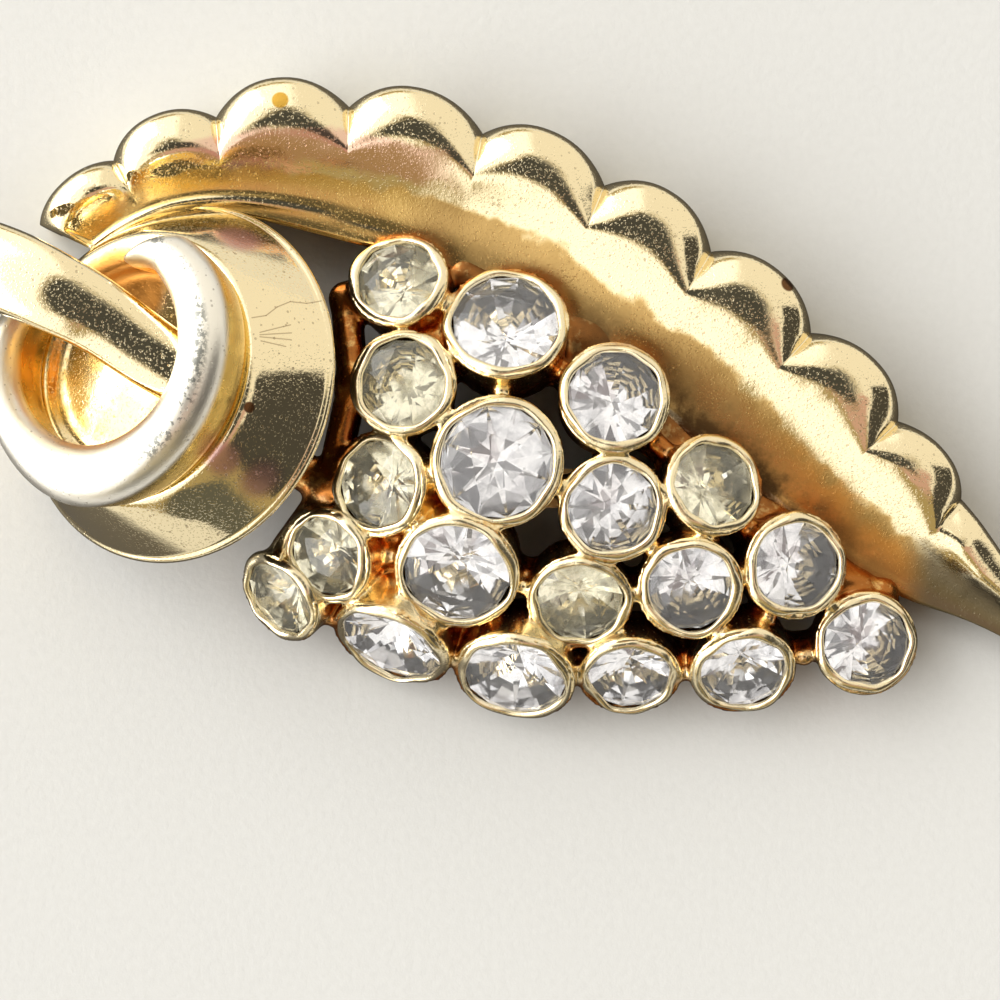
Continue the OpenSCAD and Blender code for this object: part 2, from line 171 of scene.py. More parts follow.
def leaf_skin():
    """The leaf's closed sections, one to a station, in mm. Let e be the share of the way from the middle of
    a lobe to its crease. The lobe swells outwards as 1 - e ** LOBE_POWER, by a share that eases from 1 at
    the outer edge to 0 at LOBE_RUN. The front sinks as 1 - (1 - e ** CREASE_POWER) ** CREASE_ROUND, and
    this eases out inwards. The back is the front moved one wall inwards along its normal. Also returns each
    point's share of the width, and of the raised line's height."""
    t = leaf_stations()
    lobe = np.minimum(np.floor(t).astype(int), len(LOBE_BULGES))
    lobed = lobe < len(LOBE_BULGES)
    edge = np.where(lobed, np.abs(2 * (t - lobe) - 1), 0)
    swell = np.where(lobed, 1 - edge ** LOBE_POWER, 0)
    last_crease = np.clip(1 - 2 * (t - len(LOBE_BULGES)), 0, 1) ** 2
    valley = np.where(lobed, 1 - (1 - edge ** CREASE_POWER) ** CREASE_ROUND, last_crease)
    row = cubic(LEAF_CREASES, t)
    foot = bezier(LEAF_SPINE, row[:, :1])
    along = row[:, 1:3] - foot
    width = np.linalg.norm(along, axis=1)[:, None]
    along /= width
    bulge = (np.append(LOBE_BULGES, 0)[lobe] * swell)[:, None]
    lip = np.minimum(LIP_W, LIP_SHARE * width)
    inner = row[:, 3:4]
    crest = row[:, 4:5]
    share = cubic(LEAF_SECTION, np.linspace(0, len(LEAF_SECTION) - 1, SECTION_POINTS))
    q = share[:, 0] * lip + share[:, 1] * (width - lip)
    z = np.maximum(share[:, 2], 0) * crest - share[:, 3] * (crest - inner)
    fade = 1 - ease((q - CREASE_IN) / (CREASE_OUT - CREASE_IN))
    z = z - CREASE_DEPTH * valley[:, None] * fade * np.minimum(1, z / CREASE_FULL)
    left = np.clip(LINE_LEFT_END - t, 0, 1)
    right = np.clip(t - LINE_RIGHT_START, 0, 1) * np.clip((LINE_RIGHT_END - t) / LINE_LAST_RUN, 0, 1)
    raised = ease(left + right)[:, None] * bell(q - width + cubic(LINE_IN, t), LINE_W)
    from_end = np.linalg.norm(foot - foot[0], axis=1)[:, None]
    cross = ease((q - CROSS_START) / CROSS_START_RUN) * ease((width - q) / CROSS_END_RUN)
    cross = cross * bell(from_end - CROSS_IN, CROSS_W)
    z = z + LINE_H * (raised + CROSS_SHARE * cross)
    q = q - bulge * (1 - ease(q / LOBE_RUN))
    dq = np.gradient(q, axis=1)
    dz = np.gradient(z, axis=1)
    wall = np.minimum(LEAF_WALL, WALL_SHARE * width) / np.hypot(dq, dz)
    back_q = np.minimum(q + wall * dz, width)
    back_z = np.maximum(z - wall * dq, BACK_RISE * np.arange(SECTION_POINTS))
    back_z[:, 0] = 0
    across = np.concatenate([q, back_q[:, ::-1]], axis=1)
    height = np.concatenate([z, back_z[:, ::-1]], axis=1)
    flat = foot[:, None] + along[:, None] * across[..., None]
    skin = np.concatenate([flat, height[..., None]], axis=2)
    return skin, across / width, np.concatenate([raised, 0 * raised], axis=1)


def sheet_faces(rows, columns):
    """Quads of a grid whose columns close into a ring: each joins the points (i, k), (i + 1, k),
    (i + 1, k + 1) and (i, k + 1)."""
    i = np.arange(rows * columns).reshape(rows, columns)
    near = i[:-1]
    far = i[1:]
    return np.stack([near, far, np.roll(far, -1, axis=1), np.roll(near, -1, axis=1)], axis=-1).reshape(-1, 4)


def end_faces(rows, columns):
    """Strips that close both ends of such a grid, from point k of the ring to point n - 1 - k."""
    k = np.arange(columns // 2 - 1)
    first = np.stack([k, k + 1, columns - 2 - k, columns - 1 - k], axis=-1)
    return np.concatenate([first, first[:, ::-1] + (rows - 1) * columns])


def volume(points, faces):
    """Signed volume of a closed mesh: a sixth of the sum of a . (b x c) over the triangles of its faces."""
    a = points[faces[:, 0]]
    total = 0
    for k in range(1, faces.shape[1] - 1):
        total += np.einsum("ij,ij->", a, np.cross(points[faces[:, k]], points[faces[:, k + 1]]))
    return total / 6


def show(data):
    """The object that holds a mesh or a camera, under its name, at the origin."""
    made = bpy.data.objects.new(data.name, data)
    bpy.context.scene.collection.objects.link(made)
    return made


def on_brooch(mesh):
    """The object that holds a mesh. It rides on the brooch's only body."""
    made = show(mesh)
    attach(made, "root")
    return made


def piece(name, points, faces, **marks):
    """A smooth piece of the brooch: a mesh of points in mm, its faces turned outwards, with marks kept as
    attributes, one value to a point."""
    if volume(points, faces) < 0:
        faces = faces[:, ::-1]
    mesh = bpy.data.meshes.new(name)
    mesh.vertices.add(len(points))
    mesh.vertices.foreach_set("co", (points * MM).ravel())
    mesh.loops.add(faces.size)
    mesh.loops.foreach_set("vertex_index", faces.ravel())
    mesh.polygons.add(len(faces))
    mesh.polygons.foreach_set("loop_start", np.arange(0, faces.size, faces.shape[1]))
    mesh.polygons.foreach_set("use_smooth", np.full(len(faces), True))
    mesh.update(calc_edges=True)
    for label, values in marks.items():
        mesh.attributes.new(label, "FLOAT", "POINT").data.foreach_set("value", np.ravel(values))
    return on_brooch(mesh)


def capped(name, skin, **marks):
    """A piece whose skin is a row of closed sections, with the first and the last one filled."""
    faces = np.concatenate([sheet_faces(*skin.shape[:2]), end_faces(*skin.shape[:2])])
    return piece(name, skin.reshape(-1, 3), faces, **marks)


def put(tree, kind, **values):
    """Adds a node. A value is set on the property or the socket of that name, or linked if it is itself a
    socket. _0 is the first socket, _1 the second."""
    node = tree.nodes.new(kind)
    for key, value in values.items():
        if hasattr(node, key):
            setattr(node, key, value)
    for key, value in values.items():
        if not hasattr(node, key):
            socket = node.inputs[int(key[1:])] if key[0] == "_" else node.inputs[key.replace("_", " ")]
            if isinstance(value, bpy.types.NodeSocket):
                tree.links.new(value, socket)
            else:
                socket.default_value = value
    return node


def calc(tree, operation, a, b=0.0, c=0.0):
    """One Math node: operation on a, b and c."""
    return put(tree, "ShaderNodeMath", operation=operation, _0=a, _1=b, _2=c).outputs[0]


def times(tree, a, b):
    """Product of two values, such as two masks."""
    return calc(tree, "MULTIPLY", a, b)


def vector(tree, operation, a, b=(0.0, 0.0, 0.0), **more):
    """Outputs of one Vector Math node: operation on a and b."""
    return put(tree, "ShaderNodeVectorMath", operation=operation, _0=a, _1=b, **more).outputs


def blend(tree, mask, low, high):
    """One colour Mix node: low where the mask is 0, high where it is 1."""
    return put(tree, "ShaderNodeMix", data_type="RGBA", _0=mask, _6=low, _7=high).outputs[2]


def step(tree, value, low, high, out_low=0.0, out_high=1.0):
    """Soft step of a value from low to high."""
    return put(
        tree, "ShaderNodeMapRange", interpolation_type="SMOOTHSTEP",
        _0=value, _1=low, _2=high, _3=out_low, _4=out_high,
    ).outputs[0]


def cloud(tree, place, scale, detail, roughness=0.6):
    """Value of one Noise texture, with scale in turns to the unit of place."""
    noise = put(tree, "ShaderNodeTexNoise", Vector=place, Scale=scale, Detail=detail, Roughness=roughness)
    return noise.outputs[0]


def ragged(tree, place, value, scale, detail, amount, roughness=0.6):
    """A value with a ragged edge: the value plus an amount of cloud."""
    return calc(tree, "MULTIPLY_ADD", cloud(tree, place, scale, detail, roughness), amount, value)


def mark(tree, label):
    """Value of a mark that the mesh holds at each point."""
    return put(tree, "ShaderNodeAttribute", attribute_name=label).outputs["Fac"]


def east_of(tree, place):
    """How far to the right a point lies, in mm."""
    return put(tree, "ShaderNodeSeparateXYZ", Vector=place).outputs[0]


def stretch(tree, place, start, full, fading, end):
    """Mask of a stretch of the brooch from left to right, in mm: 0 before start, 1 from full to fading, and 0
    after end."""
    east = east_of(tree, place)
    return times(tree, step(tree, east, start, full), step(tree, east, end, fading))


def new_group(name, inputs, outputs):
    """A shader node group with named inputs, which are (name, kind, default), and named value outputs.
    Returns the group, the values that it is given, and the sockets that it puts out."""
    group = bpy.data.node_groups.new(name, "ShaderNodeTree")
    for label, kind, default in inputs:
        socket = group.interface.new_socket(label, in_out="INPUT", socket_type=kind)
        if default is not None:
            socket.default_value = default
    for label in outputs:
        group.interface.new_socket(label, in_out="OUTPUT", socket_type="NodeSocketFloat")
    return group, group.nodes.new("NodeGroupInput").outputs, group.nodes.new("NodeGroupOutput").inputs


# Wear of the polish: cells of the pits to the mm, the most that a pit takes of its cell, and the heights of
# pits, of orange peel and of spattered grains, as shares of the bump's distance
PIT_CELLS = 3.4
PIT_SIZE = 0.42
PIT = -0.09
PEEL = 0.075
SPATTER = 0.055


def make_polish_wear():
    """Wear of polished plating: pinhole pits and specks, slow waves from hand polishing, orange peel, grains,
    and patches of haze. Place is in mm. Height is in shares of the bump's distance. Haze and Specks are
    masks."""
    group, given, out = new_group(
        "polish wear",
        [
            ("Place", "NodeSocketVector", None),
            ("Pits", "NodeSocketFloat", 0.5),
            ("Waves", "NodeSocketFloat", 0.5),
        ],
        ["Height", "Haze", "Specks"],
    )
    place = given["Place"]
    cells = put(group, "ShaderNodeTexVoronoi", Vector=place, Scale=PIT_CELLS, Randomness=1.0)
    size = put(group, "ShaderNodeSeparateColor", Color=cells.outputs["Color"]).outputs[0]
    patches = cloud(group, place, 0.45, 3.0)
    reach = times(group, size, times(group, patches, PIT_SIZE))
    specks = step(group, calc(group, "SUBTRACT", cells.outputs["Distance"], reach), 0.0, 0.05, 1.0, 0.0)
    specks = times(group, specks, given["Pits"])
    relief = times(group, cloud(group, place, 0.55, 1.0, 0.35), given["Waves"])
    relief = calc(group, "MULTIPLY_ADD", cloud(group, place, 5.0, 2.0, 0.5), PEEL, relief)
    relief = calc(group, "MULTIPLY_ADD", specks, PIT, relief)
    grains = step(group, cloud(group, place, 9.0, 1.0, 0.5), 0.58, 0.70)
    relief = calc(group, "MULTIPLY_ADD", grains, SPATTER, relief)
    group.links.new(relief, out["Height"])
    group.links.new(step(group, patches, 0.45, 0.72), out["Haze"])
    group.links.new(specks, out["Specks"])
    return group


POLISH_WEAR = make_polish_wear()
PLATING = (0.97, 0.83, 0.54, 1)
# Deeper gold painted where gold mirrors gold, in the leaf's channel and the dome's bowl: a painted reflection
REFLECTED_DEEP_GOLD = (0.88, 0.60, 0.20, 1)
# Dull brownish gold: painted shade in the channel beside the stones
SHADED_DULL_GOLD = (0.50, 0.32, 0.12, 1)
# Rose: a painted reflection below the crests of the left lobes
REFLECTED_ROSE = (0.86, 0.55, 0.42, 1)
# Reddish amber: a painted reflection of gold in gold, low in the channel towards the tail
LEAF_REFLECTED_AMBER = (0.72, 0.36, 0.10, 1)
# Grey olive: a painted dark reflection on the inner side of the tail
REFLECTED_DARK_OLIVE = (0.22, 0.19, 0.13, 1)
# Dark brown of pits and dirt, and also of the painted shade deep in the frame
GRIME_AND_SHADE = (0.10, 0.055, 0.022, 1)
WORN_YELLOW = (0.62, 0.36, 0.06, 1)
WORN_BROWN = (0.16, 0.075, 0.03, 1)
# Two marks near the crests, worn through the plating: middle, radius, soft edge, colour
LEAF_SPOTS = [((-9.85, 14.9, 5.2), 0.42, 0.05, WORN_YELLOW), ((15.6, 5.6, 4.6), 0.42, 0.05, WORN_BROWN)]
# Scratches: half width, and how dark they are. Specks: how dark they are
SCRATCH_W = 0.02
SCRATCH_SHADE = 0.5
SPECK_SHADE = 0.35
# Roughness that haze, specks and spots add; the spots are worn ones, painted shade and painted reflections
HAZE_DULLS = 0.07
SPECK_DULLS = 0.12
SPOT_DULLS = 0.2
WAVE_DEPTH = 0.06 * MM


def new_material(name):
    """An empty node material and its tree."""
    material = bpy.data.materials.new(name)
    material.use_nodes = True
    material.node_tree.nodes.clear()
    return material, material.node_tree


def surface(tree, **inputs):
    """The material's Principled BSDF, with its inputs set or linked."""
    shader = put(tree, "ShaderNodeBsdfPrincipled", **inputs)
    put(tree, "ShaderNodeOutputMaterial", Surface=shader.outputs[0])


def place_mm(tree):
    """The point on the brooch in mm, from Object coordinates."""
    texture = tree.nodes.new("ShaderNodeTexCoord")
    return put(tree, "ShaderNodeMapping", Vector=texture.outputs["Object"], Scale=(1 / MM,) * 3).outputs[0]


def spot(tree, place, middle, radius, edge):
    """Mask of a ball of that radius round a point in mm, with a soft edge."""
    away = vector(tree, "DISTANCE", place, middle)["Value"]
    return step(tree, away, radius - edge, radius + edge, 1.0, 0.0)


def scratch(tree, place, start, end):
    """Mask of a hair-thin straight line as seen from above, from start to end in x and y: a soft step of the
    distance from the segment."""
    way = np.subtract(end, start)
    flat = vector(tree, "MULTIPLY", place, (1.0, 1.0, 0.0))[0]
    out = vector(tree, "SUBTRACT", flat, (*start, 0.0))[0]
    share = vector(tree, "DOT_PRODUCT", out, (*(way / (way @ way)).tolist(), 0.0))["Value"]
    share = put(tree, "ShaderNodeClamp", Value=share).outputs[0]
    foot = vector(tree, "SCALE", (*way.tolist(), 0.0), Scale=share)[0]
    away = vector(tree, "DISTANCE", out, foot)["Value"]
    return step(tree, away, SCRATCH_W, 2 * SCRATCH_W, 1.0, 0.0)


def finish_gold(name, tint, roughness, pits, waves, layers=(), spots=(), scratches=()):
    """Gold plating with polish wear. layers are laid over it in turn: each is a function of the tree and the
    place that gives its mask, its colour, and the roughness it adds; some paint shade, highlights and
    reflections. spots are places worn through and patches of painted shade and painted reflection: middle,
    radius, soft edge and colour. scratches are thin lines: start and end."""
    material, tree = new_material(name)
    place = place_mm(tree)
    wear = put(tree, "ShaderNodeGroup", node_tree=POLISH_WEAR, Place=place, Pits=pits, Waves=waves)
    colour = blend(tree, times(tree, wear.outputs["Specks"], SPECK_SHADE), tint, GRIME_AND_SHADE)
    rough = calc(tree, "MULTIPLY_ADD", wear.outputs["Haze"], HAZE_DULLS, roughness)
    rough = calc(tree, "MULTIPLY_ADD", wear.outputs["Specks"], SPECK_DULLS, rough)
    for masked, layer, dulls in layers:
        mask = masked(tree, place)
        colour = blend(tree, mask, colour, layer)
        rough = calc(tree, "MULTIPLY_ADD", mask, dulls, rough)
    for middle, radius, edge, spot_colour in spots:
        mask = spot(tree, place, middle, radius, edge)
        colour = blend(tree, mask, colour, spot_colour)
        rough = calc(tree, "MULTIPLY_ADD", mask, SPOT_DULLS, rough)
    for start, end in scratches:
        thin = times(tree, scratch(tree, place, start, end), SCRATCH_SHADE)
        colour = blend(tree, thin, colour, WORN_BROWN)
    bump = put(tree, "ShaderNodeBump", Height=wear.outputs["Height"], Strength=1.0, Distance=WAVE_DEPTH)
    surface(tree, Base_Color=colour, Metallic=1.0, Roughness=rough, Normal=bump.outputs[0])
    return material


def leaf_grime(tree, place):
    """Dirt that has settled low in the channel beside the stones, in noisy patches."""
    low = step(tree, mark(tree, "across"), 0.5, 0.95)
    patch = step(tree, calc(tree, "MULTIPLY_ADD", low, 0.30, cloud(tree, place, 0.55, 6.0, 0.68)), 0.56, 0.84)
    return times(tree, times(tree, patch, stretch(tree, place, -1.0, 7.0, 14.0, 26.0)), low)


def leaf_reflected_deep(tree, place):
    """Painted reflection of gold in gold: deeper gold low in the channel, from its middle to the inner edge,
    but not on the raised line.
    """
    across = ragged(tree, place, mark(tree, "across"), 0.4, 3.0, 0.35)
    return times(tree, step(tree, across, 0.68, 0.75, 0.0, 0.9), step(tree, mark(tree, "line"), 0.6, 0.2))


def leaf_painted_shade(tree, place):
    """Painted shade on the same part of the channel beside the stones, where the gold is painted dull and
    brownish.
    """
    return times(tree, leaf_reflected_deep(tree, place), step(tree, east_of(tree, place), -4.5, -1.5))


def leaf_rose_reflection(tree, place):
    """Painted rose reflection, in a band below the crests of the left lobes."""
    across = ragged(tree, place, mark(tree, "across"), 0.5, 3.0, 0.2)
    band = times(tree, step(tree, across, 0.30, 0.36), step(tree, across, 0.62, 0.54))
    return times(tree, band, times(tree, stretch(tree, place, -16.0, -13.0, -3.0, 0.0), 0.85))


def leaf_amber_reflection(tree, place):
    """Reddish amber low in the channel, towards the tail: a painted reflection of gold in gold."""
    across = ragged(tree, place, mark(tree, "across"), 0.6, 3.0, 0.4)
    return times(tree, stretch(tree, place, 13.0, 18.0, 21.5, 23.5), step(tree, across, 0.72, 0.92))


def tail_dark_reflection(tree, place):
    """Grey painted on the inner side of the tail, in speckles: a painted dark reflection."""
    across = ragged(tree, place, mark(tree, "across"), 1.6, 5.0, 0.25, 0.7)
    inner = times(tree, step(tree, across, 0.56, 0.64), step(tree, east_of(tree, place), 21.5, 23.5))
    return times(tree, inner, 0.9)


skin, across, line = leaf_skin()
leaf = capped("leaf", skin, across=across, line=line)
leaf.data.materials.append(finish_gold(
    "leaf plating", PLATING, roughness=0.06, pits=0.8, waves=0.5,
    layers=[
        (leaf_reflected_deep, REFLECTED_DEEP_GOLD, 0.16), (leaf_painted_shade, SHADED_DULL_GOLD, 0.04), (leaf_rose_reflection, REFLECTED_ROSE, 0.05),
        (leaf_amber_reflection, LEAF_REFLECTED_AMBER, 0.05), (leaf_grime, GRIME_AND_SHADE, 0.4), (tail_dark_reflection, REFLECTED_DARK_OLIVE, 0.1),
    ],
    spots=LEAF_SPOTS,
))
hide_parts("leaf_casting")


# The frame of the bunch: nineteen cups, the necks, beads and webs between them, and the bars behind the knot.
# It is the same brass casting as the leaf. Its depths are painted as shade: reddish brown from just
# below the rims, darker brown deeper down, with patches of painted golden glints.
# Each cup is drilled for its stone.

STONE_COUNT = 19
# A stone's points this far out, as a share of the farthest, lie on its girdle
GIRDLE_SHARE = 0.93
# Height of a stone's back, as a share of its width
PAVILION = 0.43
# Cups: gap round the stone, wall, rim above the girdle, floor, the share by which the outside draws in
# downwards, and the room over the cup in its part of the field
CUP_GAP = 0.12
CUP_WALL = 0.36
CUP_RIM = 0.2
CUP_FLOOR = 0.5
CUP_DRAW = 0.1
CUP_ROOM = 1.0
# Bores: where the cone starts below the girdle, the radius of its end as a share of the stone's, and the top
BORE_STRAIGHT = 0.2
BORE_END = 0.24
BORE_TOP = 1.5
# Necks between two cups: first stone, second stone, radius of the bead on the neck (0 for a plain web)
NECKS = [
    (1, 2, 0), (1, 3, 0), (2, 3, 0), (2, 5, 0.5), (2, 4, 0), (3, 5, 0), (3, 6, 0.45),
    (5, 6, 0.4), (5, 8, 0.5), (5, 7, 0.45), (4, 7, 0), (4, 15, 0), (7, 15, 0), (7, 14, 0.45),
    (7, 13, 0.5), (8, 13, 0.4), (8, 12, 0), (8, 11, 0), (8, 9, 0), (6, 8, 0.4), (6, 9, 0),
    (9, 10, 0.4), (10, 11, 0.45), (11, 12, 0.4), (12, 13, 0), (12, 17, 0.5), (13, 14, 0.4),
    (13, 17, 0), (14, 15, 0), (14, 16, 0.5), (14, 18, 0), (15, 16, 0), (16, 18, 0.4),
    (16, 19, 0), (17, 18, 0.45), (18, 19, 0.5),
]
# Rods of a neck: share of the cups' depth, radius
NECK_RODS = [(0.8, 0.6), (0.45, 0.55)]
# Stones nearer than this have cups whose rims run together, over one more rod
JOINED = 1.25
RIM_ROD = (0.1, 0.3)
# Beads: depth of their two ends below the girdles
BEAD_LOW = 1.0
BEAD_HIGH = 0.45
# Closed parts of the pierced frame: the three stones between which each lies
PLATES = [(1, 3, 2), (6, 8, 9), (8, 9, 11), (9, 10, 11), (8, 11, 12)]
PLATE_AT = 0.65
PLATE_HALF = 0.5
# Bars behind the knot and beside the last stones: start x, y, z, end x, y, z, diameter
BARS = [
    (-6.6, 5.0, 4.0, -6.2, 0.6, 4.7, 1.6),
    (-6.2, 0.6, 4.7, -7.4, -4.6, 4.2, 1.6),
    (-7.4, -4.6, 4.2, -9.6, -7.6, 3.6, 1.6),
    (-3.9, 5.8, 4.0, -6.6, 5.0, 4.0, 1.5),
    (-3.6, 0.6, 5.2, -6.2, 0.6, 4.7, 1.5),
    (-4.8, -4.4, 4.6, -7.4, -4.6, 4.2, 1.5),
    (-7.4, -4.6, 4.0, -14.0, -0.5, 3.4, 2.0),
    (-14.0, -0.5, 3.4, -15.3, 9.4, 1.4, 1.7),
    (-15.3, 9.4, 1.4, -15.7, 11.4, 2.8, 1.7),
    (19.85, -12.5, 2.0, 20.9, -9.9, 1.9, 1.5),
    (16.9, -9.0, 3.2, 19.6, -9.6, 2.1, 1.6),
]
# Ledge between the leaf's raised line and the last stones: x, y, z along its middle, and its half width
LEDGE = np.array([
    [-0.6, 6.3, 3.3, 0.8],
    [3.2, 4.0, 3.4, 1.1],
    [5.4, 2.5, 3.5, 1.5],
    [7.4, 0.6, 3.5, 1.3],
    [9.2, -1.5, 3.4, 1.1],
    [11.2, -3.6, 3.3, 1.1],
    [14.6, -6.6, 2.7, 1.3],
    [17.6, -8.8, 2.3, 1.2],
    [20.6, -10.6, 1.8, 0.9],
])
LEDGE_H = 0.55
# The field: distances from the frame's skin, below 0 inside it, on a grid of cells
CELL = 0.16
FRAME_LOW = np.array([-17.6, -16.8, -0.4])
FRAME_HIGH = np.array([23.6, 12.6, 8.0])
FILLET = 0.45
SMALL_FILLET = 0.3
FAR = 9.0


def about_axis(points, middle, axis):
    """Distance of points from an axis, and their height along it above its middle."""
    out = points - middle
    height = out @ axis
    return np.linalg.norm(out - height[..., None] * axis, axis=-1), height


def stone_seat(number):
    """Where a stone sits, read from its CAD solid: the middle of its girdle, its axis, and its radius, in mm.
    The axis is the direction in which the solid's points spread least. The girdle holds those far from it."""
    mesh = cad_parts[f"stone_{number:02d}"].data
    points = np.empty(3 * len(mesh.vertices))
    mesh.vertices.foreach_get("co", points)
    points = np.unique(np.round(points.reshape(-1, 3) / MM, 4), axis=0)
    middle = points.mean(axis=0)
    axis = np.linalg.svd(points - middle)[2][2]
    axis *= np.sign(axis[2])
    away = about_axis(points, middle, axis)[0]
    girdle = points[away > GIRDLE_SHARE * away.max()]
    middle = girdle.mean(axis=0)
    return middle, axis, about_axis(girdle, middle, axis)[0].max()


SEATS = [stone_seat(k + 1) for k in range(STONE_COUNT)]
frame_axes = [np.arange(low, high, CELL) for low, high in zip(FRAME_LOW, FRAME_HIGH)]
field = np.full([len(line) for line in frame_axes], FAR)


def near(low, high):
    """The part of the field round a box in mm, with room for fillets: its slices, and the points in it."""
    cut = []
    for line, a, b in zip(frame_axes, low, high):
        first = max(0, int(np.searchsorted(line, a - 2 * FILLET)))
        cut.append(slice(first, int(np.searchsorted(line, b + 2 * FILLET)) + 1))
    cut = tuple(cut)
    grid = np.meshgrid(*[line[part] for line, part in zip(frame_axes, cut)], indexing="ij")
    return cut, np.stack(grid, axis=-1)


def melt(cut, shape, fillet=FILLET):
    """Adds a shape to the field with a fillet: min(a, b) - max(k - |a - b|, 0) squared / 4 k."""
    old = field[cut]
    close = np.maximum(fillet - np.abs(old - shape), 0)
    field[cut] = np.minimum(old, shape) - close ** 2 / (4 * fillet)


def to_segment(points, a, b):
    """Distance of points from the segment a b, and the share of the way along it."""
    way = b - a
    share = np.clip(((points - a) @ way) / (way @ way), 0, 1)
    return np.linalg.norm(points - a - share[..., None] * way, axis=-1), share


def add_rod(a, b, radius, fillet=FILLET):
    """Round rod from a to b: distance from the segment, less the radius."""
    a = np.asarray(a, float)
    b = np.asarray(b, float)
    cut, points = near(np.minimum(a, b) - radius, np.maximum(a, b) + radius)
    melt(cut, to_segment(points, a, b)[0] - radius, fillet)


def add_plate(corners, half):
    """Plate on three corners: distance from the plane, and from the triangle's three edges outside it."""
    cut, points = near(corners.min(axis=0) - half, corners.max(axis=0) + half)
    normal = np.cross(corners[1] - corners[0], corners[2] - corners[0])
    normal /= np.linalg.norm(normal)
    inside = np.full(points.shape[:-1], True)
    edges = np.full(points.shape[:-1], FAR)
    for a, b in zip(corners, np.roll(corners, -1, axis=0)):
        inside &= (points - a) @ np.cross(normal, b - a) > 0
        edges = np.minimum(edges, to_segment(points, a, b)[0])
    plane = np.abs((points - corners[0]) @ normal)
    melt(cut, np.where(inside, plane, edges) - half)


def add_ledge(a, b):
    """One stretch of the ledge: distance from the segment, less a half width that runs evenly from end to
    end, with the heights drawn out first, so that the section is a flat oval."""
    half = (a[3] + b[3]) / 2
    cut, points = near(np.minimum(a[:3], b[:3]) - half, np.maximum(a[:3], b[:3]) + half)
    squeeze = np.array([1, 1, half / LEDGE_H])
    away, share = to_segment(points * squeeze, a[:3] * squeeze, b[:3] * squeeze)
    melt(cut, (away - (a[3] + share * (b[3] - a[3]))) * LEDGE_H / half)


def back_depth(radius):
    """Depth of a stone's back below its girdle."""
    return 2 * PAVILION * radius


def below(seat, share):
    """The point on a cup's axis at a share of its depth, which is the stone's back and the floor under it."""
    middle, axis, radius = seat
    return middle - axis * share * (back_depth(radius) + CUP_FLOOR)


def add_cup(seat):
    """Tapered round cup: max of the distances outside its wall, its rim and its floor."""
    middle, axis, radius = seat
    depth = back_depth(radius) + CUP_FLOOR
    rim = radius + CUP_GAP + CUP_WALL
    cut, points = near(middle - rim - depth, middle + rim + CUP_ROOM)
    away, height = about_axis(points, middle, axis)
    taper = 1 - CUP_DRAW + CUP_DRAW * np.clip((height + depth) / depth, 0, 1)
    melt(cut, np.maximum.reduce([away - rim * taper, height - CUP_RIM, -height - depth]), SMALL_FILLET)


def drill_cup(seat):
    """Room for a stone: a round seat and a cone for its back, taken out of the field."""
    middle, axis, radius = seat
    bore = radius + CUP_GAP
    depth = back_depth(radius)
    cut, points = near(middle - bore - depth, middle + bore + CUP_ROOM)
    away, height = about_axis(points, middle, axis)
    cone = bore + np.minimum(height + BORE_STRAIGHT, 0) * (bore - BORE_END * radius) / depth
    hole = np.maximum.reduce([away - cone, -height - depth - CUP_GAP, height - BORE_TOP])
    field[cut] = np.maximum(field[cut], -hole)


def add_neck(a, b, bead):
    """Neck between two cups: rods at shares of their depth, and an upright bead midway between their rims."""
    for share, radius in NECK_RODS:
        add_rod(below(a, share), below(b, share), radius)
    way = b[0] - a[0]
    if np.linalg.norm(way) - a[2] - b[2] < JOINED:
        share, radius = RIM_ROD
        add_rod(below(a, share), below(b, share), radius, SMALL_FILLET)
    if bead:
        middle = a[0] + (0.5 + 0.5 * (a[2] - b[2]) / np.linalg.norm(way)) * way
        add_rod(middle - [0, 0, BEAD_LOW], middle - [0, 0, BEAD_HIGH], bead, SMALL_FILLET)


for seat in SEATS:
    add_cup(seat)
for first, second, bead in NECKS:
    add_neck(SEATS[first - 1], SEATS[second - 1], bead)
for three in PLATES:
    add_plate(np.array([below(SEATS[k - 1], PLATE_AT) for k in three]), PLATE_HALF)
for bar in BARS:
    add_rod(bar[:3], bar[3:6], bar[6] / 2)
for start, end in zip(LEDGE[:-1], LEDGE[1:]):
    add_ledge(start, end)
for seat in SEATS:
    drill_cup(seat)
# It is flat where it rests, and the field's outermost points are outside it
field = np.maximum(field, -frame_axes[2])
field[[0, -1]] = FAR
field[:, [0, -1]] = FAR
field[:, :, [0, -1]] = FAR


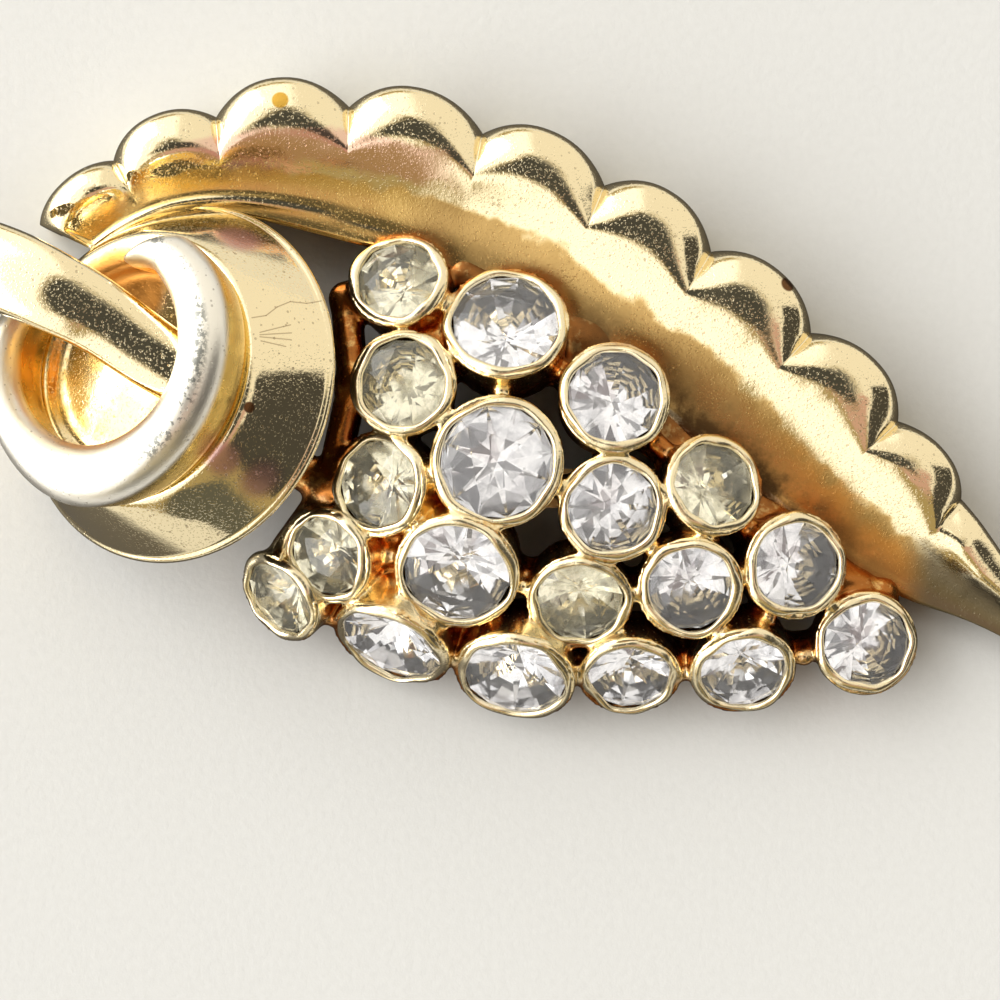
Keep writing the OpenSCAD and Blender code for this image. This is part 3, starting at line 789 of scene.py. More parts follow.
def net(values, low, cell):
    """Skin of the region where values are below 0. Each cell that the skin crosses gets one point, at the
    mean of the crossings on its twelve edges, and each grid edge that the skin crosses gets one quad through
    its four cells."""
    cells = np.array(values.shape) - 1
    total = np.zeros([*cells, 3])
    count = np.zeros(cells)
    crossings = []
    for axis in range(3):
        u, v = [k for k in range(3) if k != axis]
        a = np.delete(values, -1, axis=axis)
        b = np.delete(values, 0, axis=axis)
        crossed = (a < 0) != (b < 0)
        share = np.where(crossed, a / np.where(crossed, a - b, 1), 0)
        crossings.append((crossed, a < 0))
        for du in (0, 1):
            for dv in (0, 1):
                cut = [slice(None)] * 3
                cut[u] = slice(du, cells[u] + du)
                cut[v] = slice(dv, cells[v] + dv)
                hit = crossed[tuple(cut)]
                count += hit
                total[..., axis] += share[tuple(cut)]
                total[..., u] += du * hit
                total[..., v] += dv * hit
    active = count > 0
    number = np.cumsum(active).reshape(active.shape) - 1
    points = low + cell * (np.argwhere(active) + total[active] / count[active][:, None])
    quads = []
    for axis, (crossed, leaving) in enumerate(crossings):
        u, v = [k for k in range(3) if k != axis]
        edges = np.argwhere(crossed)
        out = leaving[crossed]
        corner = []
        for du, dv in ((1, 1), (0, 1), (0, 0), (1, 0)):
            shift = edges.copy()
            shift[:, u] -= du
            shift[:, v] -= dv
            corner.append(number[tuple(shift.T)])
        quad = np.stack(corner, axis=-1)
        kept = out if axis != 1 else ~out
        quads.append(np.where(kept[:, None], quad, quad[:, ::-1]))
    return points, np.concatenate(quads)


def rim_level(points, spread=0.3):
    """Height of the nearest stones' rims over each point: the mean of the girdles' heights, each weighted by
    one over the square of (spread + the squared distance seen from above)."""
    middles = np.array([seat[0] for seat in SEATS])
    flat = points[:, None, :2] - middles[:, :2]
    weight = 1 / (spread + np.einsum("ijk,ijk->ij", flat, flat)) ** 2
    return (weight @ middles[:, 2]) / weight.sum(axis=1)


CAST_GOLD = (0.95, 0.78, 0.46, 1)
# Reddish brown of the painted shade in the frame's depths
CAST_SHADE_AMBER = (0.43, 0.155, 0.035, 1)
# Gold of the painted glints on the frame
CAST_GLINT_GOLD = (0.78, 0.48, 0.18, 1)
points, quads = net(field, FRAME_LOW, CELL)
frame_piece = piece("bunch_frame", points, quads, sunk=rim_level(points) - points[:, 2])


def frame_amber_shade(tree, place):
    """Painted shade: reddish brown from just below the rims down."""
    return step(tree, ragged(tree, place, mark(tree, "sunk"), 0.9, 4.0, 0.6), 0.2, 0.85)


def frame_glints(tree, place):
    """Patches of painted golden glints on the frame, over its painted shade."""
    return times(tree, step(tree, cloud(tree, place, 1.5, 4.0, 0.65), 0.52, 0.66), 0.8)


def frame_deep_shade(tree, place):
    """Painted shade, darker the deeper the frame lies below the rims, broken up by noise."""
    return times(tree, step(tree, ragged(tree, place, mark(tree, "sunk"), 0.9, 5.0, 1.2), 1.8, 3.4), 0.9)


frame_piece.data.materials.append(finish_gold(
    "frame plating", CAST_GOLD, roughness=0.18, pits=0.8, waves=1.3,
    layers=[(frame_amber_shade, CAST_SHADE_AMBER, 0.04), (frame_glints, CAST_GLINT_GOLD, 0.0), (frame_deep_shade, GRIME_AND_SHADE, 0.15)],
))
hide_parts("leaf_casting")


# The rims: the thin edge of each cup, rolled over the stone by hand with a burnisher, so it wavers a little.
# They are the same plated brass as the frame, brightened by the tool and by wear.

RIM_AROUND = 110
RIM_SECTION = 14
# Their section is an oval: how far it reaches over the stone, half width, half height, height over the
# girdle, and how much higher its inner side is than its middle
RIM_IN = 0.07
RIM_HALF_W = 0.25
RIM_HALF_H = 0.27
RIM_LIFT = 0.08
RIM_LEAN = 0.10
# They waver as four sines: turns to a round, size, and the share of it that goes into the width
WAVER_TURNS = np.array([2, 3, 5, 9])
WAVER_SIZES = np.array([0.045, 0.042, 0.034, 0.022])
WAVER_W = 0.7
RIM_GOLD = (0.96, 0.83, 0.56, 1)
dice = np.random.default_rng(19)


def axes_of(axis):
    """Three directions square to each other, the last of them along the axis."""
    side = np.cross([0, 1, 0], axis)
    side /= np.linalg.norm(side)
    return side, np.cross(axis, side), axis


def around(middle, axes, angle, away, height):
    """Points at an angle round an axis, a distance from it and a height along it above its middle."""
    side, up, axis = axes
    flat = np.cos(angle)[..., None] * side + np.sin(angle)[..., None] * up
    return middle + np.asarray(away)[..., None] * flat + np.asarray(height)[..., None] * axis


def rim_ring(seat):
    """One rolled rim: an oval section carried round the stone's axis, its radius, height and width wavering
    as sums of four sines with seeded phases."""
    middle, axis, radius = seat
    a = 2 * np.pi * np.arange(RIM_AROUND)[:, None] / RIM_AROUND
    c = 2 * np.pi * np.arange(RIM_SECTION) / RIM_SECTION
    phases = dice.uniform(0, 2 * np.pi, (3, 4))
    waver = [(WAVER_SIZES * np.sin(WAVER_TURNS * a + phase)).sum(axis=1, keepdims=True) for phase in phases]
    half_w = RIM_HALF_W + WAVER_W * waver[2]
    away = radius - RIM_IN + RIM_HALF_W + waver[0] + half_w * np.cos(c)
    height = RIM_LIFT + waver[1] + RIM_HALF_H * np.sin(c) - RIM_LEAN * np.cos(c)
    return around(middle, axes_of(axis), a, away, height)


def closed_faces(rows, columns):
    """Quads of a grid that closes both ways, as on a ring."""
    i = np.arange(rows * columns).reshape(rows, columns)
    far = np.roll(i, -1, axis=0)
    return np.stack([i, far, np.roll(far, -1, axis=1), np.roll(i, -1, axis=1)], axis=-1).reshape(-1, 4)


rings = np.array([rim_ring(seat) for seat in SEATS])
shift = (np.arange(STONE_COUNT) * RIM_AROUND * RIM_SECTION)[:, None, None]
rims = piece("cup_rims", rings.reshape(-1, 3), (closed_faces(RIM_AROUND, RIM_SECTION) + shift).reshape(-1, 4))
rims.data.materials.append(finish_gold("rim plating", RIM_GOLD, roughness=0.2, pits=0.5, waves=0.5))
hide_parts("leaf_casting")


# The stones: round cut glass with a six-sided table, crown facets and a pointed back.
# Each back is foiled, a mirror seen through the glass. The foil of seven stones has gone yellow and cloudy.
# They are dropped in their cups and held by the rims.

CLOUDY = (1, 3, 6, 9, 10, 13, 15)
SIDES = 6
# Shares of the radius: radius and height of the table and of the star points, half height of the girdle, and
# radius of the ring on the back, which lies a little lower than straight from the girdle to the culet
TABLE_R = 0.51
TABLE_Z = 0.23
STAR_R = 0.79
STAR_Z = 0.15
GIRDLE_H = 0.045
BACK_R = 0.18
BACK_SWELL = 1.03
# Least and greatest change from stone to stone, of the table's radius and of the back's height
TABLE_DRAW = (-0.03, 0.01)
BACK_DRAW = (0.96, 1.0)
GLASS_TINT = (0.99, 0.99, 0.995, 1)
GLASS_IOR = 1.47
# Foils: clean colour, colour where it has aged, and the roughness that age adds
BRIGHT_FOIL = ((0.97, 0.96, 0.96, 1), (0.80, 0.79, 0.80, 1), 0.10)
YELLOW_FOIL = ((0.97, 0.94, 0.82, 1), (0.80, 0.76, 0.62, 1), 0.26)
FOIL_METAL = 0.86
FOIL_ROUGH = 0.03


def stone_points(seat):
    """Points of a cut stone, on rings round its axis: table, star points, upper and lower girdle, back ring
    and culet. The turn, the table and the back vary a little from stone to stone, by seeded draws."""
    middle, axis, radius = seat
    turn = dice.uniform(0, 2 * np.pi / SIDES)
    table = TABLE_R + dice.uniform(*TABLE_DRAW)
    back = -2 * PAVILION * dice.uniform(*BACK_DRAW)
    rings = [
        (SIDES, 0.0, table, TABLE_Z),
        (SIDES, 0.5, STAR_R, STAR_Z),
        (2 * SIDES, 0.0, 1.0, GIRDLE_H),
        (2 * SIDES, 0.0, 1.0, -GIRDLE_H),
        (SIDES, 0.5, BACK_R, back * (1 - BACK_R) * BACK_SWELL),
        (1, 0.0, 0.0, back),
    ]
    rows = []
    for sides, shift, away, height in rings:
        a = 2 * np.pi * (np.arange(sides) + shift) / sides + turn
        rows.append(around(middle, axes_of(axis), a, radius * away, radius * height))
    return np.concatenate(rows)


def stone_faces():
    """Facets of a cut stone: the table, 6 stars, 6 kites, 12 upper girdle facets, the girdle, 12 lower girdle
    facets and 6 back kites. Returns the crown's faces and the back's."""
    n = SIDES
    table, star, upper, lower, back, culet = np.cumsum([0, n, n, 2 * n, 2 * n, n]).tolist()
    crown = [list(range(n))]
    behind = []
    for k in range(n):
        after = (k + 1) % n
        before = (k - 1) % n
        g = 2 * k
        crown.append([table + k, star + k, table + after])
        crown.append([table + k, star + before, upper + g, star + k])
        crown.append([star + k, upper + g, upper + g + 1])
        crown.append([star + k, upper + g + 1, upper + (g + 2) % (2 * n)])
        behind.append([back + k, lower + g, lower + g + 1])
        behind.append([back + k, lower + g + 1, lower + (g + 2) % (2 * n)])
        behind.append([back + before, culet, back + k, lower + g])
    for g in range(2 * n):
        after = (g + 1) % (2 * n)
        crown.append([upper + g, lower + g, lower + after, upper + after])
    return crown, behind


def outward(points, faces):
    """The faces, each turned so that it looks away from the middle of the stone."""
    middle = points.mean(axis=0)
    kept = []
    for face in faces:
        corners = points[face]
        normal = np.cross(corners[1] - corners[0], corners[2] - corners[0])
        kept.append(face if normal @ (corners.mean(axis=0) - middle) > 0 else face[::-1])
    return kept


def glass_finish():
    """Clear glass: smooth, and of a plain refractive index."""
    material, tree = new_material("stone glass")
    surface(tree, Base_Color=GLASS_TINT, Roughness=0.0, IOR=GLASS_IOR, Transmission_Weight=1.0)
    return material


def foil_finish(name, clean, aged, roughness):
    """Foil behind the glass: bright metal, partly matt, with dull patches where it has aged."""
    material, tree = new_material(name)
    age = step(tree, cloud(tree, place_mm(tree), 0.9, 5.0), 0.42, 0.68)
    rough = calc(tree, "MULTIPLY_ADD", age, roughness, FOIL_ROUGH)
    surface(tree, Base_Color=blend(tree, age, clean, aged), Metallic=FOIL_METAL, Roughness=rough)
    return material


glass = glass_finish()
bright_foil = foil_finish("bright foil", *BRIGHT_FOIL)
yellow_foil = foil_finish("yellowed foil", *YELLOW_FOIL)
crown, behind = stone_faces()
for number, seat in enumerate(SEATS, start=1):
    points = stone_points(seat)
    mesh = bpy.data.meshes.new(f"cut_stone_{number:02d}")
    mesh.from_pydata((points * MM).tolist(), [], outward(points, crown + behind))
    mesh.materials.append(glass)
    mesh.materials.append(yellow_foil if number in CLOUDY else bright_foil)
    mesh.polygons.foreach_set("material_index", [0] * len(crown) + [1] * len(behind))
    mesh.update()
    stone = on_brooch(mesh)
    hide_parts(f"stone_{number:02d}")


# The knot's dome: a flanged, convex disc with a bowl in its front, leaning to the left on the frame's post.
# It is stamped or cast brass, polished and gold plated, and has a deep pit and some fine creases from use.
# Its bowl and seat carry a painted reflection of deeper gold and a patch of painted amber shade, and its
# flanks carry painted mauve reflections.

# The knot: middle of the flange, lean of its axis from the vertical, and the heading in which it leans
KNOT_AT = np.array([-14.95, 0.65, 4.7])
KNOT_LEAN = np.radians(29)
KNOT_HEADING = np.radians(160)
DOME_AROUND = 220
FLANGE_R = 9.18
# Section of the dome, from the middle of its back round the flange to the middle of the bowl: radius, height
DOME_SECTION = np.array([
    [0.0, 2.4], [2.4, 2.4], [4.6, 2.36], [5.9, 1.95], [6.9, 1.3], [7.4, 0.35], [7.9, 0.03], [8.7, 0.02],
    [9.08, 0.08], [9.17, 0.25], [9.1, 0.46], [8.93, 0.58], [8.8, 0.8], [8.56, 1.28], [8.24, 1.9],
    [7.87, 2.57], [7.48, 3.2], [7.12, 3.72], [6.85, 4.02], [6.55, 4.14], [6.0, 4.18], [5.45, 4.15],
    [5.15, 3.98], [4.9, 3.72], [4.4, 3.5], [3.4, 3.38], [2.2, 3.3], [1.0, 3.26], [0.0, 3.25],
])
DOME_STEPS = 5
# The bowl's painted reflection of deeper gold ends between these distances from the knot's axis
BOWL_EDGE = 6.7
BOWL_FULL = 6.2
# Amber of the painted shade in the bowl's upper right
BOWL_SHADE_AMBER = (0.62, 0.27, 0.06, 1)
# Mauve of the painted reflections on the dome's upper right and lower right
REFLECTED_MAUVE = (0.70, 0.44, 0.40, 1)
# Painted amber shade in the bowl, painted mauve reflections, and last the pit: middle, radius, soft edge,
# colour
DOME_SPOTS = [
    ((-17.3, 5.2, 6.5), 2.3, 0.5, BOWL_SHADE_AMBER),
    ((-11.8, 7.5, 7.4), 1.2, 0.45, REFLECTED_MAUVE),
    ((-12.2, -3.1, 10.9), 0.9, 0.35, REFLECTED_MAUVE),
    ((-10.4, -4.2, 10.1), 1.0, 0.5, REFLECTED_MAUVE),
    ((-10.9, -0.73, 11.4), 0.28, 0.04, WORN_BROWN),
]
# A crease in five straight stretches, and four scratches: x and y of start and end
DOME_SCRATCHES = [
    ((-10.8, 3.62), (-10.15, 3.75)), ((-10.15, 3.75), (-9.65, 4.2)), ((-9.65, 4.2), (-9.05, 4.5)),
    ((-9.05, 4.5), (-8.3, 4.45)), ((-8.3, 4.45), (-7.6, 4.6)), ((-10.4, 2.91), (-9.0, 3.33)),
    ((-10.4, 2.79), (-8.95, 2.93)), ((-10.4, 2.69), (-8.95, 2.59)), ((-10.35, 2.49), (-9.2, 2.25)),
]


def knot_axes():
    """The knot's own directions: down along its lean, across it, and its axis, which leans to its heading."""
    ahead = np.array([np.cos(KNOT_HEADING), np.sin(KNOT_HEADING), 0])
    up = np.array([0, 0, 1])
    return (
        np.cos(KNOT_LEAN) * ahead - np.sin(KNOT_LEAN) * up,
        np.cross(up, ahead),
        np.sin(KNOT_LEAN) * ahead + np.cos(KNOT_LEAN) * up,
    )


def dome_skin():
    """The dome's section, carried round the knot's axis: a natural cubic spline through the table's rows."""
    last = len(DOME_SECTION) - 1
    line = cubic(DOME_SECTION, np.linspace(0, last, DOME_STEPS * last + 1))
    a = 2 * np.pi * np.arange(DOME_AROUND)[:, None] / DOME_AROUND
    return around(KNOT_AT, knot_axes(), a, np.clip(line[:, 0], 0, FLANGE_R), line[:, 1])


def turned_faces(rows, columns):
    """Faces of a section carried round, whose first and last points lie on the axis: quads, with a triangle
    written as a quad at each pole."""
    i = np.arange(rows * columns).reshape(rows, columns)
    i[:, 0] = 0
    i[:, -1] = columns - 1
    far = np.roll(i, -1, axis=0)
    return np.stack([i[:, :-1], far[:, :-1], far[:, 1:], i[:, 1:]], axis=-1).reshape(-1, 4)


def welded(name, points, quads):
    """A smooth piece whose poles were written as quads: quads that hold a point twice become triangles, and
    points that no quad holds are left out."""
    used, number = np.unique(quads, return_inverse=True)
    quads = number.reshape(quads.shape)
    points = points[used]
    if volume(points, quads) < 0:
        quads = quads[:, ::-1]
    mesh = bpy.data.meshes.new(name)
    mesh.from_pydata((points * MM).tolist(), [], [list(dict.fromkeys(face)) for face in quads.tolist()])
    mesh.polygons.foreach_set("use_smooth", np.full(len(quads), True))
    mesh.update()
    return on_brooch(mesh)


def above_knot(tree, place):
    """Distance from the knot's axis, by Pythagoras, and height above its flange, in mm."""
    out = vector(tree, "SUBTRACT", place, KNOT_AT.tolist())[0]
    height = vector(tree, "DOT_PRODUCT", out, knot_axes()[2].tolist())["Value"]
    length = vector(tree, "LENGTH", out)["Value"]
    away = calc(tree, "SUBTRACT", times(tree, length, length), times(tree, height, height))
    return calc(tree, "SQRT", away), height


def bowl_reflected_deep(tree, place):
    """Painted reflection of deeper gold, gold in gold, in the bowl and on the seat round it, marbled by
    noise.
    """
    inside = step(tree, above_knot(tree, place)[0], BOWL_EDGE, BOWL_FULL)
    return times(tree, inside, step(tree, cloud(tree, place, 0.5, 4.0), 0.40, 0.60, 0.25, 1.0))


skin = dome_skin()
dome = welded("knot_disc", skin.reshape(-1, 3), turned_faces(*skin.shape[:2]))
dome.data.materials.append(finish_gold(
    "dome plating", PLATING, roughness=0.05, pits=1.0, waves=0.6,
    layers=[(bowl_reflected_deep, REFLECTED_DEEP_GOLD, 0.14)], spots=DOME_SPOTS, scratches=DOME_SCRATCHES,
))
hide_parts("knot_dome")


# The knot's ring: a thick hook that curls round on the dome's front, with a tapered tip at its upper left.
# It is polished brass, gold plated. It is tinted near white as a painted highlight, its wall
# carries a painted reflection of deeper gold, and a broken band on its crown has specks of painted dark
# reflection.

# Angle from the knot's heading in degrees, outer radius, inner radius and height of the crown above the foot
RING_ROWS = np.array([
    [-28, 6.0, 4.7, 2.6],
    [-8, 6.4, 4.85, 3.4],
    [15, 6.6, 4.9, 3.9],
    [38, 6.72, 4.82, 4.05],
    [60, 6.85, 4.65, 4.05],
    [84, 7.2, 4.5, 4.05],
    [108, 7.45, 4.42, 4.05],
    [132, 7.3, 4.38, 4.05],
    [156, 7.12, 4.45, 4.05],
    [180, 7.1, 4.55, 4.05],
    [204, 7.2, 4.62, 4.05],
    [228, 7.3, 4.72, 4.05],
    [246, 7.18, 4.85, 4.05],
    [253, 7.0, 4.93, 4.0],
    [260, 6.5, 4.83, 3.95],
    [266, 5.86, 4.65, 3.85],
    [271, 5.2, 4.55, 3.6],
    [274, 4.85, 4.65, 3.2],
])
# Height of the foot above the flange, waist as a share of the crown's height, how far the walls draw in to
# the foot (at most half of the half width), and the power that squares the section below the waist
RING_FOOT = 4.17
RING_WAIST = 0.66
RING_FOOT_IN = 0.5
RING_BOX = 0.4
RING_SECTION = 56
RING_AROUND = 320
# The wall's painted reflection of deeper gold ends between these heights above the flange
WALL_EDGE = 7.15
WALL_FULL = 6.55
# Near white: a painted highlight over the whole ring
RING_HIGHLIGHT_WHITE = (1.0, 0.96, 0.87, 1)
# Deeper gold of the wall's painted reflection
WALL_REFLECTED_GOLD = (0.93, 0.68, 0.22, 1)
# Grey of the crown's painted dark reflections
REFLECTED_GREY = (0.36, 0.36, 0.33, 1)


def hook_skin():
    """Sections along the hook. Above the waist each is half an ellipse. Below it the cosine and sine are
    raised to the power RING_BOX, for upright walls and a flat foot, and the walls draw in downwards."""
    row = cubic(RING_ROWS, np.linspace(0, len(RING_ROWS) - 1, RING_AROUND))
    degrees, outer, inner, rise = [row[:, k:k + 1] for k in range(4)]
    c = 2 * np.pi * (np.arange(RING_SECTION) + 0.5) / RING_SECTION
    u, v = np.cos(c), np.sin(c)
    crown = v > 0
    box_u = np.sign(u) * np.abs(u) ** RING_BOX
    box_v = np.abs(v) ** RING_BOX
    half = (outer - inner) / 2
    waist = RING_FOOT + RING_WAIST * rise
    height = np.where(crown, waist + (1 - RING_WAIST) * rise * v, waist - (waist - RING_FOOT) * box_v)
    drawn = np.minimum(RING_FOOT_IN, 0.5 * half) * box_v
    away = (outer + inner) / 2 + np.where(crown, half * u, (half - drawn) * box_u)
    return around(KNOT_AT, knot_axes(), np.radians(degrees), away, height)


def wall_reflected_deep(tree, place):
    """Painted reflection of deeper gold on the hook's wall, under its crown."""
    return step(tree, above_knot(tree, place)[1], WALL_EDGE, WALL_FULL)


def crown_dark_reflections(tree, place):
    """Specks of painted dark reflection in a broken band along the outer side of the hook's crown."""
    away, height = above_knot(tree, place)
    band = times(tree, step(tree, away, 5.95, 6.2), step(tree, away, 6.85, 6.55))
    patchy = ragged(tree, place, cloud(tree, place, 3.5, 5.0, 0.7), 0.35, 2.0, 0.5, 0.5)
    crown = times(tree, step(tree, height, 7.4, 7.8), step(tree, east_of(tree, place), -17.5, -15.5))
    return times(tree, times(tree, band, step(tree, patchy, 0.72, 0.80)), crown)


ring = capped("ring", hook_skin())
ring.data.materials.append(finish_gold(
    "ring plating", RING_HIGHLIGHT_WHITE, roughness=0.34, pits=1.0, waves=0.5,
    layers=[(wall_reflected_deep, WALL_REFLECTED_GOLD, -0.1), (crown_dark_reflections, REFLECTED_GREY, 0.0)],
))
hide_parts("knot_ring")


# The stem: a half-round band, bent over the ring's left wall and tucked under its right wall.
# It is polished brass, gold plated, and worn to specks on its crown.

# Middle line: x, y, z, share of its width, share of its thickness
STEM = np.array([
    [-30.14, 7.2, 4.3, 0.55, 0.5],
    [-29.94, 7.2, 5.1, 0.95, 0.95],
    [-29.3, 7.15, 6.7, 1.2, 1.15],
    [-28.3, 7.1, 8.2, 1.25, 1.15],
    [-26.4, 6.9, 9.4, 1.25, 1.1],
    [-24.2, 6.4, 10.3, 1.22, 1.05],
    [-22.2, 5.7, 10.85, 1.18, 1],
    [-20.3, 4.8, 11.15, 1.12, 1],
    [-18.4, 3.8, 11.0, 1.05, 1],
    [-16.8, 2.7, 10.85, 1, 1],
    [-15.2, 1.6, 10.8, 0.97, 1],
    [-13.5, 0.6, 10.75, 0.92, 0.9],
])
STEM_W = 3.5
STEM_T = 1.7
# The power that flattens the front's crown, the share of the thickness behind the middle line, and how far
# the back bulges
STEM_FLAT = 0.3
STEM_BACK = 0.42
STEM_BULGE = 0.12
STEM_ROWS = 110
STEM_POINTS = 40


def stem_skin():
    """Sections along the stem: the front lifts as sin(a) ** STEM_FLAT, a flat crown with round shoulders, and
    the back bulges a little, as the sine."""
    row = cubic(STEM, np.linspace(0, len(STEM) - 1, STEM_ROWS))
    middle = row[:, :3]
    ahead = np.gradient(middle, axis=0)
    ahead /= np.linalg.norm(ahead, axis=1)[:, None]
    across = np.cross(ahead, [0, 0, 1])
    across /= np.linalg.norm(across, axis=1)[:, None]
    up = np.cross(across, ahead)
    a = np.pi - 2 * np.pi * (np.arange(STEM_POINTS) + 0.5) / STEM_POINTS
    front = np.sin(a) > 0
    rise = np.where(front, np.abs(np.sin(a)) ** STEM_FLAT, 0) - STEM_BACK
    side = row[:, 3:4] * STEM_W / 2 * np.cos(a)
    lift = row[:, 4:5] * STEM_T * rise - np.where(front, 0, STEM_BULGE * np.sin(a))
    return middle[:, None] + across[:, None] * side[..., None] + up[:, None] * lift[..., None]


stem = capped("stem_band", stem_skin())
stem.data.materials.append(finish_gold("stem plating", PLATING, roughness=0.06, pits=1.0, waves=0.5))
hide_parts("stem")


# The pin: a plain bar with two seats, a hinge block, a catch and a wire, soldered behind the bunch.
# It keeps the CAD solid, in duller plated brass.

PIN_GOLD = (0.85, 0.62, 0.28, 1)
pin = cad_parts["pin_back"]
pin.data.materials.clear()
pin.data.materials.append(finish_gold("pin plating", PIN_GOLD, roughness=0.22, pits=0.6, waves=0.2))


# The floor: a round sheet of pale card with a faint grain. The brooch lies on it by itself.
# Polished metal mirrors the card dark round the brooch, a painted shade that only glossy reflections see; the
# camera sees the card pale.

FLOOR_R = 900.0
FLOOR_T = 1.0
FLOOR_SIDES = 96
CARD_LOW = (0.60, 0.60, 0.59, 1)
CARD_HIGH = (0.66, 0.66, 0.65, 1)
CARD_GRAIN = 0.05 * MM
# Colour of the painted shade that reflections see on the card round the brooch
PAINTED_SHADE_CARD = (0.07, 0.065, 0.06, 1)
# Half length, half width and half height of the painted shade, the multiples of them between which it fades,
# and the share of the pale card that the stones see through their glass
SHADE = (31.0, 16.0, 1.0)
SHADE_FULL = 1.5
SHADE_END = 2.3
PALE_THROUGH_GLASS = 0.85
a = 2 * np.pi * np.arange(FLOOR_SIDES) / FLOOR_SIDES
k = np.arange(FLOOR_SIDES)
floor_points = np.concatenate([
    np.stack([FLOOR_R * np.cos(a), FLOOR_R * np.sin(a), np.full(FLOOR_SIDES, z)], axis=-1)
    for z in (0.0, -FLOOR_T)
])
floor_edge = np.stack([k + FLOOR_SIDES, np.roll(k, -1) + FLOOR_SIDES, np.roll(k, -1), k], axis=-1)
floor_mesh = bpy.data.meshes.new("floor")
floor_mesh.from_pydata(
    (floor_points * MM).tolist(), [],
    [k.tolist(), (k[::-1] + FLOOR_SIDES).tolist()] + floor_edge.tolist(),
)
show(floor_mesh)
card, tree = new_material("pale card")
place = place_mm(tree)
grain = cloud(tree, place, 2.2, 5.0)
pale = blend(tree, grain, CARD_LOW, CARD_HIGH)
beyond = vector(tree, "LENGTH", vector(tree, "DIVIDE", place, SHADE)[0])["Value"]
shaded = blend(tree, step(tree, beyond, SHADE_FULL, SHADE_END), PAINTED_SHADE_CARD, pale)
path = put(tree, "ShaderNodeLightPath").outputs
through = times(tree, path["Is Transmission Ray"], PALE_THROUGH_GLASS)
mirrored = times(tree, path["Is Glossy Ray"], calc(tree, "SUBTRACT", 1.0, through))
bump = put(tree, "ShaderNodeBump", Height=grain, Strength=0.4, Distance=CARD_GRAIN).outputs[0]
surface(tree, Base_Color=blend(tree, mirrored, pale, shaded), Roughness=0.75, Normal=bump)
floor_mesh.materials.append(card)


# The studio: soft windows of light all round, dark overhead and low on the near side.
# The stones see the same light, mixed by a share with the room's own darker and lighter parts.

# Windows: azimuth and elevation of the middle, half width, half height and soft edge in degrees, colour
WINDOWS = [
    (161.0, 41.0, 86.0, 29.0, 5.0, (1.42, 1.40, 1.33)),
    (170.0, 27.0, 46.0, 22.0, 8.0, (5.0, 5.0, 4.9)),
    (25.0, 32.0, 64.0, 40.0, 8.0, (0.95, 0.90, 0.79)),
    (303.0, 65.0, 45.0, 7.0, 4.0, (0.62, 0.40, 0.34)),
    (336.0, 30.0, 36.0, 22.0, 3.0, (0.07, 0.066, 0.058)),
    (272.0, 9.0, 18.0, 17.0, 4.0, (0.12, 0.12, 0.10)),
]
AMBIENT = (0.42, 0.33, 0.16, 1)
# Overhead: its colour, and the elevations between which it sets in
OVERHEAD = (0.07, 0.07, 0.065, 1)
OVERHEAD_FROM = 70.0
OVERHEAD_TO = 76.0
ROOM_DARK = (0.17, 0.165, 0.17, 1)
ROOM_LIGHT = (1.5, 1.48, 1.42, 1)
ROOM_SCALE = 4.4
ROOM_SHARE = 0.8
# What the camera sees past the floor's edge
BACKDROP = (0.62, 0.62, 0.61, 1)
WINDOW_INPUTS = ("Azimuth", "Elevation", "Turn", "Rise", "Half W", "Half H", "Edge")


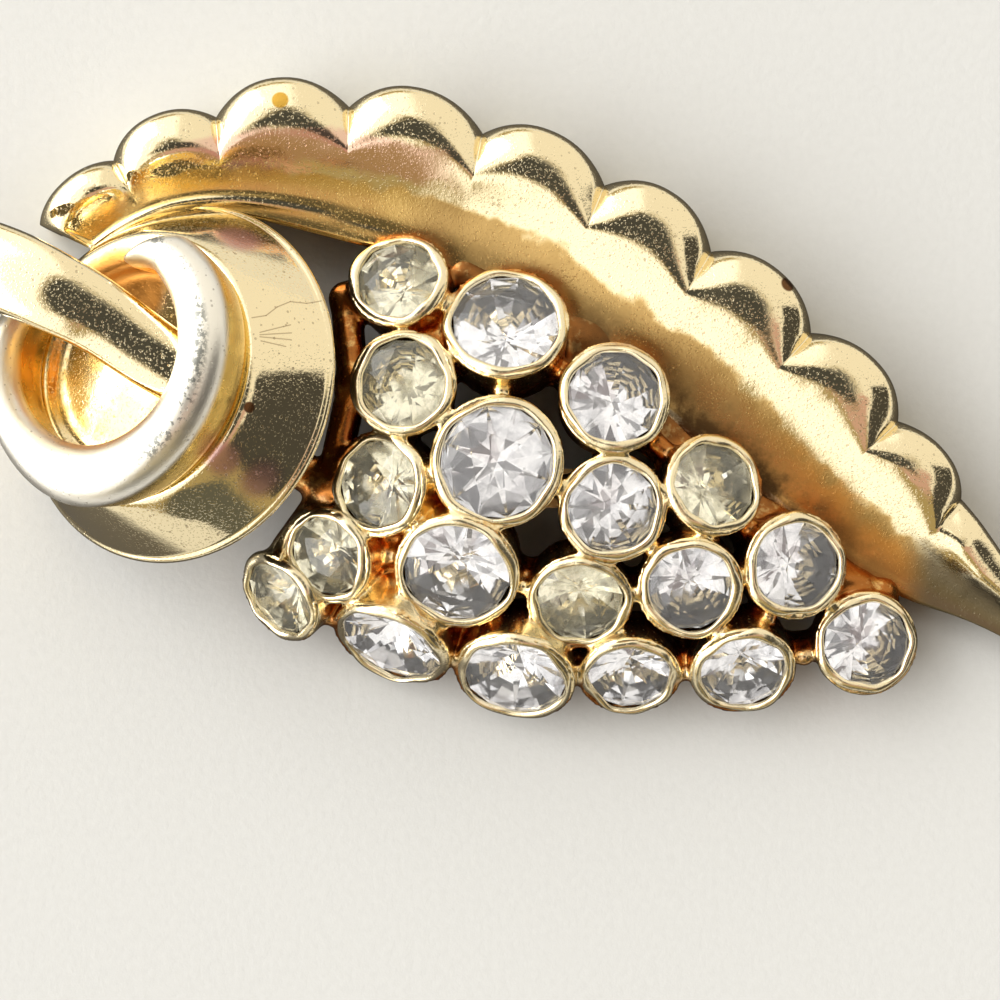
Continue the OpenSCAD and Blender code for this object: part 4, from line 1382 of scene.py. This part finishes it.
def make_window():
    """Mask of a soft-edged window in the sky: the product of two soft steps, in azimuth and in elevation."""
    group, given, out = new_group(
        "soft window", [(label, "NodeSocketFloat", 0.0) for label in WINDOW_INPUTS], ["Mask"],
    )
    turn = calc(group, "SUBTRACT", given["Azimuth"], given["Turn"])
    turn = calc(group, "ABSOLUTE", calc(group, "WRAP", turn, 180.0, -180.0))
    rise = calc(group, "ABSOLUTE", calc(group, "SUBTRACT", given["Elevation"], given["Rise"]))
    masks = []
    for away, half in ((turn, given["Half W"]), (rise, given["Half H"])):
        outside = calc(group, "SUBTRACT", away, half)
        masks.append(step(group, calc(group, "DIVIDE", outside, given["Edge"]), -1.0, 1.0, 1.0, 0.0))
    group.links.new(times(group, *masks), out["Mask"])
    return group


world = bpy.data.worlds.new("studio")
bpy.context.scene.world = world
world.use_nodes = True
tree = world.node_tree
tree.nodes.clear()
direction = tree.nodes.new("ShaderNodeTexCoord").outputs["Generated"]
ray = put(tree, "ShaderNodeSeparateXYZ", Vector=direction).outputs
azimuth = calc(tree, "DEGREES", calc(tree, "ARCTAN2", ray[1], ray[0]))
elevation = calc(tree, "DEGREES", calc(tree, "ARCSINE", ray[2]))
light = blend(tree, step(tree, elevation, OVERHEAD_FROM, OVERHEAD_TO), AMBIENT, OVERHEAD)
window = make_window()
for turn, rise, half_w, half_h, edge, glow in WINDOWS:
    mask = put(
        tree, "ShaderNodeGroup", node_tree=window, Azimuth=azimuth, Elevation=elevation,
        Turn=turn, Rise=rise, Half_W=half_w, Half_H=half_h, Edge=edge,
    ).outputs[0]
    light = blend(tree, mask, light, (*glow, 1))
parts = step(tree, cloud(tree, direction, ROOM_SCALE, 0.0, 0.5), 0.38, 0.52)
room = blend(tree, parts, ROOM_DARK, ROOM_LIGHT)
path = put(tree, "ShaderNodeLightPath").outputs
light = blend(tree, times(tree, path["Is Transmission Ray"], ROOM_SHARE), light, room)
light = blend(tree, path["Is Camera Ray"], light, BACKDROP)
background = put(tree, "ShaderNodeBackground", Color=light, Strength=1.0).outputs[0]
put(tree, "ShaderNodeOutputWorld", Surface=background)


# The camera: it looks straight down on the brooch, a little to the right of its middle and below it.

CAMERA_AT = (1.2, -5.2, 156.0)
CAMERA_LENS = 108
CAMERA_SENSOR = 36
CAMERA_NEAR = 1.0
camera_data = bpy.data.cameras.new("camera")
camera_data.lens = CAMERA_LENS
camera_data.sensor_width = CAMERA_SENSOR
camera_data.clip_start = CAMERA_NEAR * MM
camera = show(camera_data)
camera.location = [at * MM for at in CAMERA_AT]
bpy.context.scene.camera = camera
bpy.context.scene.view_settings.view_transform = "Standard"
